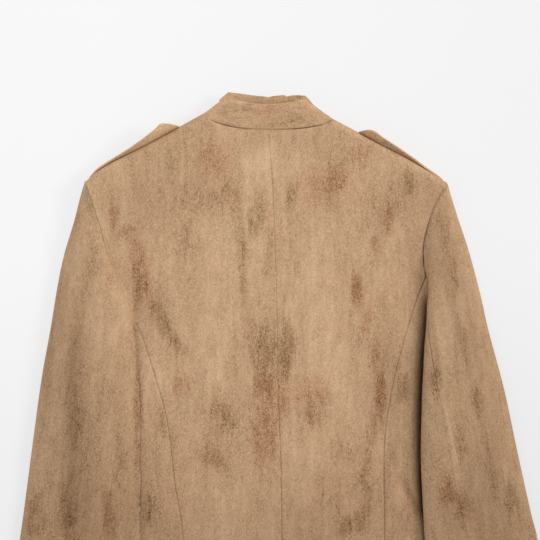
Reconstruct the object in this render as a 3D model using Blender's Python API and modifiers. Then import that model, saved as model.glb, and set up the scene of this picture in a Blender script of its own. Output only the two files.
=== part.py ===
"""Suede jacket with a stand collar, laid flat on its front with the back up.

X runs to the right of the back, Y from the hem to the collar, Z up from the surface
it lies on.  All sizes below are millimetres.  Every cloth piece is an open surface
lofted between its seam lines, thickened inwards to a suede wall.
"""

import math
from collections import namedtuple

import bmesh
import bpy
from mathutils import Vector

MM = 0.001

# Cloth
SUEDE_WALL = 1.6
BAND_WALL = 2.2            # the collar is a doubled band
STRAP_WALL = 2.6
STRAP_FOOT = 3.0           # how far the strap's lower edge reaches out from the shoulder seam
SEAM_GAP = 0.4             # between two pieces at their seam
SEAM_INSET = 0.3           # how far a back panel stops short of its seams

# Flat-laid body
HEM_Y = -198.0
SIDE_ROLL = 5.0            # how far in from the side fold the cloth starts to turn
SIDE_SEAM_Z = 4.0
SIDE_BACK_Z = 8.5          # height of the side back panel beside the side fold
SHOULDER_ROLL = 7.0        # how far in from the shoulder edge the cloth starts to turn
SHOULDER_SEAM_Z = 16.0
NECK_SHARE = 0.36          # share of a back or front panel's top edge that is neckline
BACK_ARMHOLE_SHARE = 0.8   # share of a back panel's outer edge that is princess seam
FRONT_ARMHOLE_SHARE = 0.78  # share of a front panel's outer edge that is side seam

# Front closing: the right front lies outside (lowest) and the left front on it
LEFT_FRONT_EDGE_X = 12.5
RIGHT_FRONT_EDGE_X = -9.0
OVERLAP_LIFT = 2.6         # how far the upper one is raised
OVERLAP_RAMP = 16.0        # how far it takes to rise

# Stand collar
NECK_CENTRE_X = -8.3
NECK_HALF_WIDTH = 73.0
NECK_HALF_DEPTH = 14.0     # half the height that the neckline opens, front to back
BACK_NECK_Y = 399.0
FRONT_NECK_Y = 400.0
NECK_BACK_Z = 30.0         # height of the back beside the neck
TIP_BACK_Z = 26.0          # and at the shoulder tip
COLLAR_SEAM_GAP = 1.0
COLLAR_TOP_CENTRE_X = -10.7
COLLAR_TOP_HALF_WIDTH = 46.5
COLLAR_TOP_MIDDLE_Z = 14.0
COLLAR_TOP_BACK_Z = 26.5
COLLAR_TOP_BACK_Y = 428.2
COLLAR_TOP_FRONT_Y = 437.5
COLLAR_TOP_LEFT_Y = 440.3
COLLAR_TOP_RIGHT_Y = 436.3
COLLAR_LIFT = 3.2          # how far the collar's upper end is raised

# Armhole seams
ARMHOLE_TURN_SHARE = 0.9   # share of the armhole seam, underarm to shoulder, before it turns
UNDERARM_SHARE = 0.12      # share of it that joins the side back panel
SIDE_TURN_SHARE = 0.06     # share of it that crosses the side fold
SLEEVE_START = 1.2         # how far from the armhole the sleeve's cloth starts
UNDERARM_EASE = 2.8        # how far the lower layer starts out from the front's edge
UNDERARM_RISE = 2.2        # how far the sleeve starts above the underarm
UNDER_START_RISE = 1.3     # how far the lower layer starts above the front's edge

# Sleeves
FRONT_SEAM_ANGLE = 300.0   # where the front sleeve seam runs round each ring
CAP_FADE = (1.0, 0.38, 0.15, 0.04)   # how much each ring keeps of the armhole's bend
UNDER_CAP_FADE = 0.5       # the lower layer straightens sooner than the upper one
TOP_ROUNDNESS = 0.8        # lower than 1 is a flatter top with fuller folds
UNDER_ROUNDNESS = 0.6
BODY_SLOPE = 0.075         # how fast the body under the sleeve rises inside its side fold
SLEEVE_CLEARANCE = 1.6     # between the sleeve and the body's side that it lies on
FLOOR_RAMP = 16.0          # how far the lower layer takes to come down off the body
UNDERARM_LEVEL = 8.0       # how far above the underarm it starts to come down
FRONT_CLEARANCE = 2.8      # between the sleeve and the front panel under it
FRONT_RAMP = 8.0

# Grids
TURN_ANGLES = (30.0, 60.0, 84.0, 89.0)
SIDE_TURN_ANGLES = (30.0, 60.0, 82.0, 87.0)
EDGE_STEP = 0.012          # share of a panel in the short row beside each of its edges
SLEEVE_EDGE_ROW = 0.24     # share of the first ring in the row beside the armhole
STEEP_GAP = 1.5            # seam gaps that a steeply curved seam needs
MIN_REACH = 0.05           # least length of a degree of a ring
NECK_COLUMNS = 6
SHOULDER_COLUMNS = 5
BACK_ROWS = 13
ARMHOLE_ROWS = 8
SIDE_BACK_COLUMNS = 5
FRONT_COLUMNS = 12
FRONT_COLUMN_POWER = 1.4
UPPER_COLUMNS = 18
UNDER_COLUMNS = 9
SLEEVE_ROWS_PER_RING = 2
COLLAR_COLUMNS = 40
COLLAR_ROWS = 2
STRAP_COLUMNS = 4
STRAP_ROWS = 14

# Dyed suede, a little darker on the sleeves and fronts
CLOTH_COLOURS = {
    "back": (0.47, 0.31, 0.185),
    "side_back": (0.44, 0.29, 0.17),
    "front": (0.40, 0.26, 0.15),
    "sleeve": (0.36, 0.23, 0.135),
    "collar": (0.49, 0.33, 0.20),
    "shoulder": (0.43, 0.28, 0.165),
}
CLOTH_ROUGHNESS = 0.95

Seam = namedtuple("Seam", "x y z")
# A ring's fold points, and how far its top stands above the line between them
Ring = namedtuple("Ring", "outer_x outer_y inner_x inner_y outer_z inner_z rise")
# Along the shoulder seam from the neck, out from it, and half the strap's own width
StrapStation = namedtuple("StrapStation", "along stand_off half_width")

# The centre back seam, hem to collar
CENTRE_BACK = (
    Seam(7.0, HEM_Y, 12.0),
    Seam(6.3, -68.0, 14.0),
    Seam(5.5, 14.0, 15.0),
    Seam(2.6, 96.0, 17.0),
    Seam(1.4, 178.0, 19.5),
    Seam(-0.7, 260.0, 23.0),
    Seam(-4.8, 350.0, 28.0),
)

# One half of the jacket.  Seams run upwards, rings run from the armhole to the cuff, and
# back_seam is where the back sleeve seam crosses each ring, in degrees.
Side = namedtuple(
    "Side",
    "name sign neck_y shoulder princess armhole front_armhole side_seam rings back_seam strap",
)

LEFT = Side(
    name="left",
    sign=-1.0,
    neck_y=418.5,
    shoulder=((-148.5, 381.6), (-199.0, 355.0), (-217.7, 339.7)),
    princess=(
        Seam(-105.0, HEM_Y, 11.0),
        Seam(-106.0, -68.0, 12.5),
        Seam(-116.0, 0.0, 12.5),
        Seam(-121.0, 45.0, 12.5),
        Seam(-127.0, 80.0, 12.5),
        Seam(-139.5, 122.0, 12.0),
        Seam(-153.3, 165.0, 11.0),
    ),
    armhole=(
        Seam(-168.5, 167.0, 8.5),
        Seam(-160.7, 180.0, 10.5),
        Seam(-166.0, 197.0, 12.0),
        Seam(-177.0, 222.0, 14.5),
        Seam(-191.5, 257.6, 18.0),
        Seam(-201.0, 292.0, 22.0),
    ),
    front_armhole=(
        Seam(-173.5, 167.0, SIDE_SEAM_Z),
        Seam(-171.5, 181.0, 1.2),
        Seam(-171.0, 198.0, 0.0),
        Seam(-177.5, 222.0, 0.0),
        Seam(-190.0, 257.6, 0.0),
        Seam(-201.5, 292.0, 0.0),
    ),
    side_seam=(
        Seam(-212.0, HEM_Y, SIDE_SEAM_Z),
        Seam(-197.0, -60.0, SIDE_SEAM_Z),
        Seam(-190.0, 11.0, SIDE_SEAM_Z),
        Seam(-200.0, 75.0, SIDE_SEAM_Z),
        Seam(-198.0, 118.0, SIDE_SEAM_Z),
    ),
    rings=(
        Ring(-222.5, 325.0, -162.0, 166.0, 15.0, 14.0, 9.0),
        Ring(-230.5, 294.0, -159.3, 151.0, 12.0, 17.0, 12.0),
        Ring(-241.3, 258.8, -158.3, 136.0, 9.0, 17.5, 14.0),
        Ring(-249.2, 221.7, -157.5, 121.0, 8.0, 17.5, 15.0),
        Ring(-257.6, 171.0, -156.0, 104.0, 7.5, 17.5, 15.0),
        Ring(-267.3, 117.4, -155.0, 80.0, 7.0, 17.0, 14.5),
        Ring(-276.4, 51.9, -155.0, 30.0, 7.0, 16.5, 13.5),
        Ring(-285.7, -19.4, -155.8, -28.0, 6.5, 16.5, 12.5),
        Ring(-292.5, -68.4, -156.6, -75.0, 6.5, 16.5, 12.0),
        Ring(-305.0, -146.0, -170.0, -158.0, 6.0, 15.5, 11.0),
        Ring(-318.0, -226.0, -193.0, -243.0, 5.5, 13.0, 10.0),
    ),
    back_seam=(26.0, 22.0, 18.0, 14.0, 14.0, 20.0, 36.0, 55.0, 63.0, 70.0, 76.0, 80.0),
    strap=(
        StrapStation(34.0, 3.6, 5.0),
        StrapStation(41.0, 8.2, 12.0),
        StrapStation(50.0, 13.0, 14.0),
        StrapStation(57.0, 11.2, 14.0),
        StrapStation(70.0, 8.9, 14.0),
        StrapStation(91.0, 6.0, 14.5),
        StrapStation(112.0, 4.4, 15.0),
        StrapStation(137.0, 3.4, 15.0),
        StrapStation(151.0, 3.0, 15.0),
    ),
)

RIGHT = Side(
    name="right",
    sign=1.0,
    neck_y=411.8,
    shoulder=((116.7, 384.0), (146.3, 368.0), (182.9, 346.5), (195.0, 338.6)),
    princess=(
        Seam(126.0, HEM_Y, 11.0),
        Seam(124.0, -68.0, 12.5),
        Seam(123.0, 18.0, 12.5),
        Seam(125.0, 60.0, 12.5),
        Seam(133.0, 108.0, 12.5),
        Seam(146.0, 160.0, 12.0),
        Seam(158.0, 197.0, 11.5),
    ),
    armhole=(
        Seam(179.5, 213.0, 8.5),
        Seam(171.5, 231.0, 10.5),
        Seam(168.2, 248.0, 13.0),
        Seam(168.5, 270.0, 16.0),
        Seam(174.3, 295.0, 20.0),
        Seam(180.8, 314.0, 23.0),
    ),
    front_armhole=(
        Seam(184.5, 213.0, SIDE_SEAM_Z),
        Seam(183.0, 228.0, 1.2),
        Seam(177.0, 246.0, 0.0),
        Seam(172.5, 266.0, 0.0),
        Seam(175.0, 295.0, 0.0),
        Seam(181.5, 314.0, 0.0),
    ),
    side_seam=(
        Seam(221.0, HEM_Y, SIDE_SEAM_Z),
        Seam(206.0, -50.0, SIDE_SEAM_Z),
        Seam(200.0, 11.0, SIDE_SEAM_Z),
        Seam(210.0, 90.0, SIDE_SEAM_Z),
        Seam(208.0, 155.0, SIDE_SEAM_Z),
    ),
    rings=(
        Ring(199.5, 324.0, 177.0, 208.0, 15.0, 14.0, 9.0),
        Ring(207.0, 300.3, 172.8, 197.0, 12.0, 17.0, 12.0),
        Ring(220.0, 261.0, 171.5, 184.0, 9.0, 17.5, 14.0),
        Ring(233.0, 212.6, 170.0, 164.0, 8.0, 17.5, 15.0),
        Ring(242.4, 171.0, 168.3, 142.0, 7.5, 17.5, 15.0),
        Ring(260.6, 102.6, 166.0, 88.0, 7.0, 17.0, 14.5),
        Ring(275.9, 30.8, 164.7, 24.0, 6.5, 16.5, 13.0),
        Ring(291.2, -38.2, 168.0, -46.0, 6.5, 16.5, 12.5),
        Ring(298.7, -68.4, 171.0, -78.0, 6.5, 16.5, 12.0),
        Ring(312.0, -146.0, 184.0, -160.0, 6.0, 15.5, 11.0),
        Ring(325.0, -226.0, 203.0, -245.0, 5.5, 13.0, 10.0),
    ),
    back_seam=(26.0, 22.0, 18.0, 16.0, 24.0, 38.0, 56.0, 66.0, 74.0, 77.0, 80.0, 84.0),
    strap=(
        StrapStation(34.0, 3.6, 5.0),
        StrapStation(40.5, 7.4, 12.0),
        StrapStation(47.0, 9.8, 14.0),
        StrapStation(63.0, 7.8, 14.0),
        StrapStation(82.0, 6.4, 14.5),
        StrapStation(100.0, 5.0, 15.0),
        StrapStation(119.0, 4.0, 15.0),
        StrapStation(134.0, 3.4, 15.0),
        StrapStation(143.0, 3.0, 15.0),
    ),
)


class Curve:
    """A smooth curve through its points, run from 0 to 1 by the length between them."""

    def __init__(self, points):
        self.points = [Vector(point) for point in points]
        self.knots = [0.0]
        for start, end in zip(self.points, self.points[1:]):
            self.knots.append(self.knots[-1] + (end - start).length)
        self.length = self.knots[-1]

    def at(self, share):
        """Return the point at a share of the length (Catmull-Rom between the points)."""
        distance = min(max(share, 0.0), 1.0) * self.length
        last = len(self.points) - 1
        index = 0
        while index < last - 1 and distance > self.knots[index + 1]:
            index += 1
        span = self.knots[index + 1] - self.knots[index]
        t = (distance - self.knots[index]) / span
        start = self.points[index]
        end = self.points[index + 1]
        leave = self.slope(index) * span
        arrive = self.slope(index + 1) * span
        return (
            start * (2 * t**3 - 3 * t**2 + 1)
            + leave * (t**3 - 2 * t**2 + t)
            + end * (3 * t**2 - 2 * t**3)
            + arrive * (t**3 - t**2)
        )

    def slope(self, index):
        """Return the curve's direction at one of its points, per millimetre."""
        before = max(index - 1, 0)
        after = min(index + 1, len(self.points) - 1)
        rise = self.points[after] - self.points[before]
        return rise / (self.knots[after] - self.knots[before])


class TwoPartCurve:
    """Two curves end to end, joined at a share of the run, with a corner between them."""

    def __init__(self, first, second, joint):
        self.first = first
        self.second = second
        self.joint = joint

    def at(self, share):
        if share <= self.joint:
            return self.first.at(share / self.joint)
        return self.second.at((share - self.joint) / (1.0 - self.joint))


def blend(start, end, share):
    return start + (end - start) * share


def smooth_step(share):
    share = min(max(share, 0.0), 1.0)
    return share * share * (3.0 - 2.0 * share)


def point_at_height(seam, y):
    """Return the point of a rising seam at a height up the body."""
    low, high = 0.0, 1.0
    for _ in range(14):
        middle = 0.5 * (low + high)
        if seam.at(middle).y < y:
            low = middle
        else:
            high = middle
    return seam.at(low)


def overlap_lift(x, height):
    """Return how far the left front is raised where it lies on the right front."""
    start = RIGHT_FRONT_EDGE_X - OVERLAP_RAMP
    return height * smooth_step((x - start) / (OVERLAP_RAMP - 1.0))


def neck_point(angle, sign, neck_y):
    """Return a point of the collar seam: 0 at the back, 90 at the side, 180 in front."""
    turn = math.radians(angle)
    x = NECK_CENTRE_X + sign * NECK_HALF_WIDTH * math.sin(turn)
    if angle <= 90.0:
        y = BACK_NECK_Y + (neck_y - BACK_NECK_Y) * (1.0 - math.cos(turn))
        z = SHOULDER_SEAM_Z + NECK_HALF_DEPTH * math.cos(turn)
    else:
        y = FRONT_NECK_Y + (neck_y - FRONT_NECK_Y) * (1.0 + math.cos(turn))
        z = SHOULDER_SEAM_Z * (1.0 + math.cos(turn))
    return Vector((x, y, z))


class BodyHalf:
    """The seam lines of one half of the body, and the surfaces between them."""

    def __init__(self, side):
        self.side = side
        corner = neck_point(90.0, side.sign, side.neck_y)
        shoulder = [corner]
        shoulder += [Vector((x, y, SHOULDER_SEAM_Z)) for x, y in side.shoulder]
        self.shoulder = Curve(shoulder)
        self.centre = Curve(list(CENTRE_BACK) + [self.turn_start(0.0, "back")])
        self.princess = Curve(list(side.princess) + [side.armhole[1]])
        armhole_top = self.turn_start(1.0, "back")
        self.armhole = Curve(list(side.armhole[1:]) + [armhole_top])
        self.underarm = Curve(side.armhole[:2])
        self.side_seam = Curve(list(side.side_seam) + [side.front_armhole[0]])
        front_top = self.turn_start(1.0, "front")
        self.front_armhole = Curve(list(side.front_armhole) + [front_top])

    def top_edge(self, share, face):
        """Return the collar and shoulder seam of the back or front, neck centre to tip."""
        if share <= NECK_SHARE:
            angle = 90.0 * share / NECK_SHARE
            if face == "front":
                angle = 180.0 - angle
            return neck_point(angle, self.side.sign, self.side.neck_y)
        return self.shoulder.at((share - NECK_SHARE) / (1.0 - NECK_SHARE))

    def inward(self, share):
        """Return the direction from the top edge into the panel."""
        run = self.shoulder.points[-1] - self.shoulder.points[0]
        across = Vector((run.y, -run.x, 0.0)).normalized()
        across *= self.side.sign
        straight = Vector((0.0, -1.0, 0.0))
        return blend(straight, across, smooth_step(share / NECK_SHARE)).normalized()

    def turn_start(self, share, face):
        """Return where the flat of a panel starts to turn to its top edge."""
        point = self.top_edge(share, face) + self.inward(share) * SHOULDER_ROLL
        point.z = self.flat_height(share, face)
        return point

    def flat_height(self, share, face):
        if face == "front":
            return 0.0
        return blend(NECK_BACK_Z, TIP_BACK_Z, share)

    def turned(self, share, turn, face):
        """Return a point of the quarter turn from a panel's flat to its top edge."""
        edge = self.top_edge(share, face)
        point = edge + self.inward(share) * SHOULDER_ROLL * (1.0 - math.sin(turn))
        point.z = edge.z + (self.flat_height(share, face) - edge.z) * math.cos(turn)
        return point

    def outline(self, share, joint):
        """Return the outer edge of a front panel: side seam, then front armhole."""
        return TwoPartCurve(self.side_seam, self.front_armhole, joint).at(share)


def coons(left, right, bottom, top, u, v):
    """Return the point of a patch between four seam lines that meet at its corners."""
    across = left(v) * (1.0 - u) + right(v) * u
    along = bottom(u) * (1.0 - v) + top(u) * v
    low = bottom(0.0) * (1.0 - u) + bottom(1.0) * u
    high = top(0.0) * (1.0 - u) + top(1.0) * u
    return across + along - (low * (1.0 - v) + high * v)


def steps(count, start=0.0, end=1.0):
    return [start + (end - start) * index / count for index in range(count + 1)]


def edged_steps(count, start=0.0, end=1.0):
    """Return even steps with a short one at each end, which keeps the rims square."""
    even = steps(count, start, end)
    short = (end - start) * EDGE_STEP
    return [start, start + short] + even[1:-1] + [end - short, end]


def inset(share, width):
    """Return a share of a width that stops just short of the seams at both its ends."""
    margin = SEAM_INSET / width
    return margin + share * (1.0 - 2.0 * margin)


def make_cloth(collection, name, columns, rows, place, wall, flip, centred=False):
    """Make one piece of cloth: a grid laid where place says, thickened inwards."""
    mesh = bpy.data.meshes.new(name)
    grid = bmesh.new()
    across = len(columns) - 1
    along = len(rows) - 1
    bmesh.ops.create_grid(grid, x_segments=across, y_segments=along, size=0.5)
    for vert in grid.verts:
        column = columns[round((vert.co.x + 0.5) * across)]
        row = rows[round((vert.co.y + 0.5) * along)]
        vert.co = place(column, row) * MM
    if flip:
        bmesh.ops.reverse_faces(grid, faces=grid.faces)
    grid.to_mesh(mesh)
    grid.free()
    mesh.shade_smooth()
    piece = bpy.data.objects.new(name, mesh)
    collection.objects.link(piece)
    solid = piece.modifiers.new("wall", "SOLIDIFY")
    solid.thickness = wall * MM
    solid.offset = 0.0 if centred else -1.0
    solid.use_rim = True
    mesh.materials.append(suede(name))
    return piece


def suede(name):
    """Make the piece's own suede material."""
    material = bpy.data.materials.new(name + "_suede")
    material.use_nodes = True
    shader = material.node_tree.nodes["Principled BSDF"]
    kind = next(key for key in sorted(CLOTH_COLOURS, reverse=True) if name.startswith(key))
    shader.inputs["Base Color"].default_value = (*CLOTH_COLOURS[kind], 1.0)
    shader.inputs["Roughness"].default_value = CLOTH_ROUGHNESS
    shader.inputs["Metallic"].default_value = 0.0
    return material


def panel_rows(low, high, joint, turns):
    """Return a panel's rows: shares of its flat, then angles of its turned top edge."""
    shares = steps(low, 0.0, joint) + steps(high, joint, 1.0)[1:]
    rows = [(share, 0.0) for share in shares]
    rows += [(1.0, math.radians(angle)) for angle in turns]
    return rows


def make_back(collection, half):
    """Back panel: centre seam to princess seam and armhole, hem to collar and shoulder."""
    outer = TwoPartCurve(half.princess, half.armhole, BACK_ARMHOLE_SHARE)

    def hem(u):
        return blend(half.centre.at(0.0), half.princess.at(0.0), u)

    def top(u):
        return half.turn_start(u, "back")

    def place(u, row):
        v, turn = row
        if turn > 0.0:
            width = half.shoulder.length + NECK_HALF_WIDTH
            return half.turned(inset(u, width), turn, "back")
        width = (outer.at(v) - half.centre.at(v)).length
        return coons(half.centre.at, outer.at, hem, top, inset(u, width), v)

    name = "back_" + half.side.name
    flip = half.side.sign < 0.0
    rows = panel_rows(BACK_ROWS, ARMHOLE_ROWS, BACK_ARMHOLE_SHARE, TURN_ANGLES)
    columns = steps(NECK_COLUMNS, 0.0, NECK_SHARE) + steps(SHOULDER_COLUMNS, NECK_SHARE, 1.0)[1:]
    columns = [0.0, EDGE_STEP] + columns[1:-1] + [1.0 - EDGE_STEP, 1.0]
    return make_cloth(collection, name, columns, rows, place, SUEDE_WALL, flip)


def make_side_back(collection, half):
    """Side back panel: princess seam to side seam, hem to underarm."""
    start = [
        Vector((seam.x - half.side.sign * SIDE_ROLL, seam.y, SIDE_BACK_Z))
        for seam in half.side.side_seam
    ]
    inner_side = Curve(start + [Vector(half.side.armhole[0])])

    def hem(u):
        return blend(half.princess.at(0.0), inner_side.at(0.0), u)

    def top(u):
        return half.underarm.at(1.0 - u)

    def place(column, row):
        u, turn = column
        v = row * (1.0 - SEAM_GAP / half.princess.length)
        width = (inner_side.at(v) - half.princess.at(v)).length
        share = 0.5 * SEAM_GAP / width
        flat = coons(half.princess.at, inner_side.at, hem, top, share + u * (1.0 - share), v)
        if turn == 0.0:
            return flat
        seam = half.side_seam.at(v)
        point = blend(flat, seam, math.sin(turn))
        point.z = seam.z + (flat.z - seam.z) * math.cos(turn)
        return point

    name = "side_back_" + half.side.name
    columns = [(share, 0.0) for share in edged_steps(SIDE_BACK_COLUMNS)[:-2] + [1.0]]
    columns += [(1.0, math.radians(angle)) for angle in SIDE_TURN_ANGLES]
    flip = half.side.sign < 0.0
    return make_cloth(
        collection, name, columns, edged_steps(BACK_ROWS), place, SUEDE_WALL, flip
    )


def make_front(collection, half, edge_x, lift):
    """Front panel: centre front edge to side seam and armhole; it lies on the surface."""
    sign = half.side.sign
    past_centre = math.asin(-sign * (edge_x - NECK_CENTRE_X) / NECK_HALF_WIDTH)
    first = -NECK_SHARE * math.degrees(past_centre) / 90.0
    margin = SIDE_ROLL / (half.shoulder.length / (1.0 - NECK_SHARE))
    last = 1.0 - margin
    joint = FRONT_ARMHOLE_SHARE

    def outer(v):
        return half.outline(v, joint)

    def flat_edge(seams):
        return [Vector((seam.x - sign * SIDE_ROLL, seam.y, 0.0)) for seam in seams]

    arm_points = flat_edge(half.side.front_armhole)
    side_points = flat_edge(half.side.side_seam) + arm_points[:1]
    arm_points.append(half.turn_start(last, "front"))
    inner = TwoPartCurve(Curve(side_points), Curve(arm_points), joint)

    def centre(v):
        return blend(Vector((edge_x, HEM_Y, 0.0)), half.turn_start(first, "front"), v)

    def hem(u):
        return blend(centre(0.0), inner.at(0.0), u)

    def top(u):
        return half.turn_start(blend(first, last, u), "front")

    def flat_point(u, v):
        return coons(centre, inner.at, hem, top, u, v)

    def place(column, row):
        u, side_turn = column
        v, top_turn = row
        if top_turn > 0.0:
            share = blend(first, last, u) + margin * math.sin(side_turn)
            point = half.turned(share, top_turn, "front")
        else:
            point = flat_point(u, v)
            if side_turn > 0.0:
                seam = outer(v)
                height = seam.z + (point.z - seam.z) * math.cos(side_turn)
                point = blend(point, seam, math.sin(side_turn))
                point.z = height
        point.z = max(point.z, 0.0)
        if sign < 0.0:
            point.z += overlap_lift(point.x, lift)
        return point

    columns = [(share**FRONT_COLUMN_POWER, 0.0) for share in steps(FRONT_COLUMNS)]
    columns += [(1.0, math.radians(angle)) for angle in SIDE_TURN_ANGLES]
    rows = panel_rows(BACK_ROWS, ARMHOLE_ROWS, joint, TURN_ANGLES)
    name = "front_" + half.side.name
    return make_cloth(collection, name, columns, rows, place, SUEDE_WALL, sign > 0.0)


class Sleeve:
    """A two-piece sleeve: rings from the armhole to the cuff, flattened and laid down."""

    def __init__(self, half):
        self.half = half
        self.side = half.side
        self.count = len(self.side.rings)
        self.tip = half.turned(1.0, math.pi / 2.0, "back")

    def armhole(self, share, face):
        """Return a point of the armhole seam, underarm to shoulder tip."""
        half = self.half
        rise = UNDERARM_RISE * max(0.0, 1.0 - share / UNDERARM_SHARE)
        underarm = half.underarm.at(0.0)
        if share > ARMHOLE_TURN_SHARE:
            turn = math.pi / 2.0 * (share - ARMHOLE_TURN_SHARE) / (1.0 - ARMHOLE_TURN_SHARE)
            return half.turned(1.0, turn, face)
        if face == "back":
            if share < UNDERARM_SHARE:
                point = half.underarm.at(share / UNDERARM_SHARE)
                point.z += rise
                return point
            run = (share - UNDERARM_SHARE) / (ARMHOLE_TURN_SHARE - UNDERARM_SHARE)
            return half.armhole.at(run)
        if share < SIDE_TURN_SHARE:
            turn = math.pi / 2.0 * share / SIDE_TURN_SHARE
            seam = half.front_armhole.at(0.0)
            point = blend(underarm, seam, math.sin(turn))
            point.z = seam.z + (underarm.z - seam.z) * math.cos(turn)
        else:
            run = (share - SIDE_TURN_SHARE) / (ARMHOLE_TURN_SHARE - SIDE_TURN_SHARE)
            point = half.front_armhole.at(run)
        ease = min(1.0, share / SIDE_TURN_SHARE)
        point.x += self.side.sign * UNDERARM_EASE * ease
        point.z += rise + UNDER_START_RISE * ease
        return point

    def floor(self, point):
        """Return the height of what the sleeve lies on: the body's side, or the surface."""
        fold = point_at_height(self.half.side_seam, point.y)
        outside = (point.x - fold.x) * self.side.sign
        above = point.y - self.half.underarm.at(0.0).y
        out_share = smooth_step((outside - 1.0) / FLOOR_RAMP)
        up_share = smooth_step((above - UNDERARM_LEVEL) / FLOOR_RAMP)
        inside = max(-outside, 0.0)
        body = SIDE_BACK_Z + BODY_SLOPE * inside + SLEEVE_CLEARANCE
        body *= (1.0 - out_share) * (1.0 - up_share)
        edge = point_at_height(self.half.front_armhole, point.y)
        within = (edge.x - point.x) * self.side.sign
        front = FRONT_CLEARANCE * smooth_step((within + FRONT_RAMP) / FRONT_RAMP)
        return max(body, front)

    def ring_point(self, index, angle):
        """Return a point of one ring; 0 is the inner fold, 90 the top, 180 the outer fold."""
        turn = math.radians(angle)
        share = 0.5 * (1.0 - math.cos(turn))
        on_top = math.sin(turn) >= 0.0
        seam = self.armhole(share, "back" if on_top else "front")
        if index == 0:
            return seam
        ring = self.side.rings[index - 1]
        inner = Vector((ring.inner_x, ring.inner_y, ring.inner_z))
        outer = Vector((ring.outer_x, ring.outer_y, ring.outer_z))
        point = blend(inner, outer, share)
        if index < len(CAP_FADE):
            straight = blend(self.armhole(0.0, "back"), self.tip, share)
            bend = (seam - straight) * CAP_FADE[index]
            if not on_top:
                bend *= UNDER_CAP_FADE
            point.x += bend.x
            point.y += bend.y
        if on_top:
            point.z += ring.rise * math.sin(turn) ** TOP_ROUNDNESS
        else:
            drop = point.z - self.floor(point)
            point.z -= drop * (-math.sin(turn)) ** UNDER_ROUNDNESS
        return point

    def at(self, run, angle):
        """Return a point of the sleeve, with run counted in rings from the armhole."""
        index = min(int(run), self.count - 1)
        t = run - index
        start = self.ring_point(index, angle)
        end = self.ring_point(index + 1, angle)
        before = self.ring_point(index - 1, angle) if index > 0 else start * 2.0 - end
        last = index + 2 > self.count
        after = end * 2.0 - start if last else self.ring_point(index + 2, angle)
        leave = (end - before) * 0.5
        arrive = (after - start) * 0.5
        point = (
            start * (2 * t**3 - 3 * t**2 + 1)
            + leave * (t**3 - 2 * t**2 + t)
            + end * (3 * t**2 - 2 * t**3)
            + arrive * (t**3 - t**2)
        )
        point.z = max(point.z, 0.0)
        return point

    def back_seam(self, run):
        index = min(int(run), self.count - 1)
        return blend(self.side.back_seam[index], self.side.back_seam[index + 1], run - index)

    def seam_margin(self, run, angle):
        """Return the angle that the gap beside a steeply curved seam takes."""
        reach = (self.at(run, angle + 1.0) - self.at(run, angle - 1.0)).length / 2.0
        return STEEP_GAP * SEAM_GAP / max(reach, MIN_REACH)

    def start(self, angle):
        """Return the run at which the cloth starts, a seam gap from the armhole."""
        reach = (self.ring_point(1, angle) - self.ring_point(0, angle)).length
        return SLEEVE_START / reach


def make_sleeve(collection, sleeve, part):
    """Upper sleeve: back seam over the outer fold to the front seam.  Under sleeve: the rest."""
    front = FRONT_SEAM_ANGLE

    def place(share, row):
        seam = sleeve.back_seam(row)
        if part == "upper":
            first, last = seam, front
        else:
            first, last = front - 360.0, seam
        first += sleeve.seam_margin(row, first)
        last -= sleeve.seam_margin(row, last)
        angle = blend(first, last, share)
        run = row if row > 0.0 else sleeve.start(angle)
        return sleeve.at(run, angle)

    columns = edged_steps(UPPER_COLUMNS if part == "upper" else UNDER_COLUMNS)
    rows = [0.0, SLEEVE_EDGE_ROW]
    rows += steps(sleeve.count * SLEEVE_ROWS_PER_RING, 0.0, float(sleeve.count))[1:]
    name = "sleeve_" + part + "_" + sleeve.side.name
    flip = sleeve.side.sign > 0.0
    return make_cloth(collection, name, columns, rows, place, SUEDE_WALL, flip)


def make_collar(collection):
    """Stand collar: one band round the neck, its left end lying on its right end."""

    def reach(centre_x, half_width):
        left = 180.0 + math.degrees(math.asin((LEFT_FRONT_EDGE_X - centre_x) / half_width))
        right = 180.0 - math.degrees(math.asin((RIGHT_FRONT_EDGE_X - centre_x) / half_width))
        return left, right

    def top_point(angle, sign, side_y):
        turn = math.radians(angle)
        x = COLLAR_TOP_CENTRE_X + sign * COLLAR_TOP_HALF_WIDTH * math.sin(turn)
        end_y = COLLAR_TOP_BACK_Y if angle <= 90.0 else COLLAR_TOP_FRONT_Y
        y = end_y + (side_y - end_y) * (1.0 - abs(math.cos(turn)))
        back = COLLAR_TOP_BACK_Z - COLLAR_TOP_MIDDLE_Z
        depth = back if angle <= 90.0 else COLLAR_TOP_MIDDLE_Z
        return Vector((x, y, COLLAR_TOP_MIDDLE_Z + depth * math.cos(turn)))

    base_left, base_right = reach(NECK_CENTRE_X, NECK_HALF_WIDTH)
    top_left, top_right = reach(COLLAR_TOP_CENTRE_X, COLLAR_TOP_HALF_WIDTH)

    def place(share, height):
        base_angle = blend(-base_left, base_right, share)
        top_angle = blend(-top_left, top_right, share)
        side = LEFT if base_angle < 0.0 else RIGHT
        top_side_y = COLLAR_TOP_LEFT_Y if top_angle < 0.0 else COLLAR_TOP_RIGHT_Y
        base = neck_point(abs(base_angle), side.sign, side.neck_y)
        top = top_point(abs(top_angle), math.copysign(1.0, top_angle), top_side_y)
        gap = COLLAR_SEAM_GAP / (top - base).length
        point = blend(base, top, gap + height * (1.0 - gap))
        if base_angle < -90.0:
            point.z += overlap_lift(point.x, COLLAR_LIFT)
        return point

    return make_cloth(
        collection, "collar", steps(COLLAR_COLUMNS), steps(COLLAR_ROWS), place, BAND_WALL, False
    )


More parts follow.
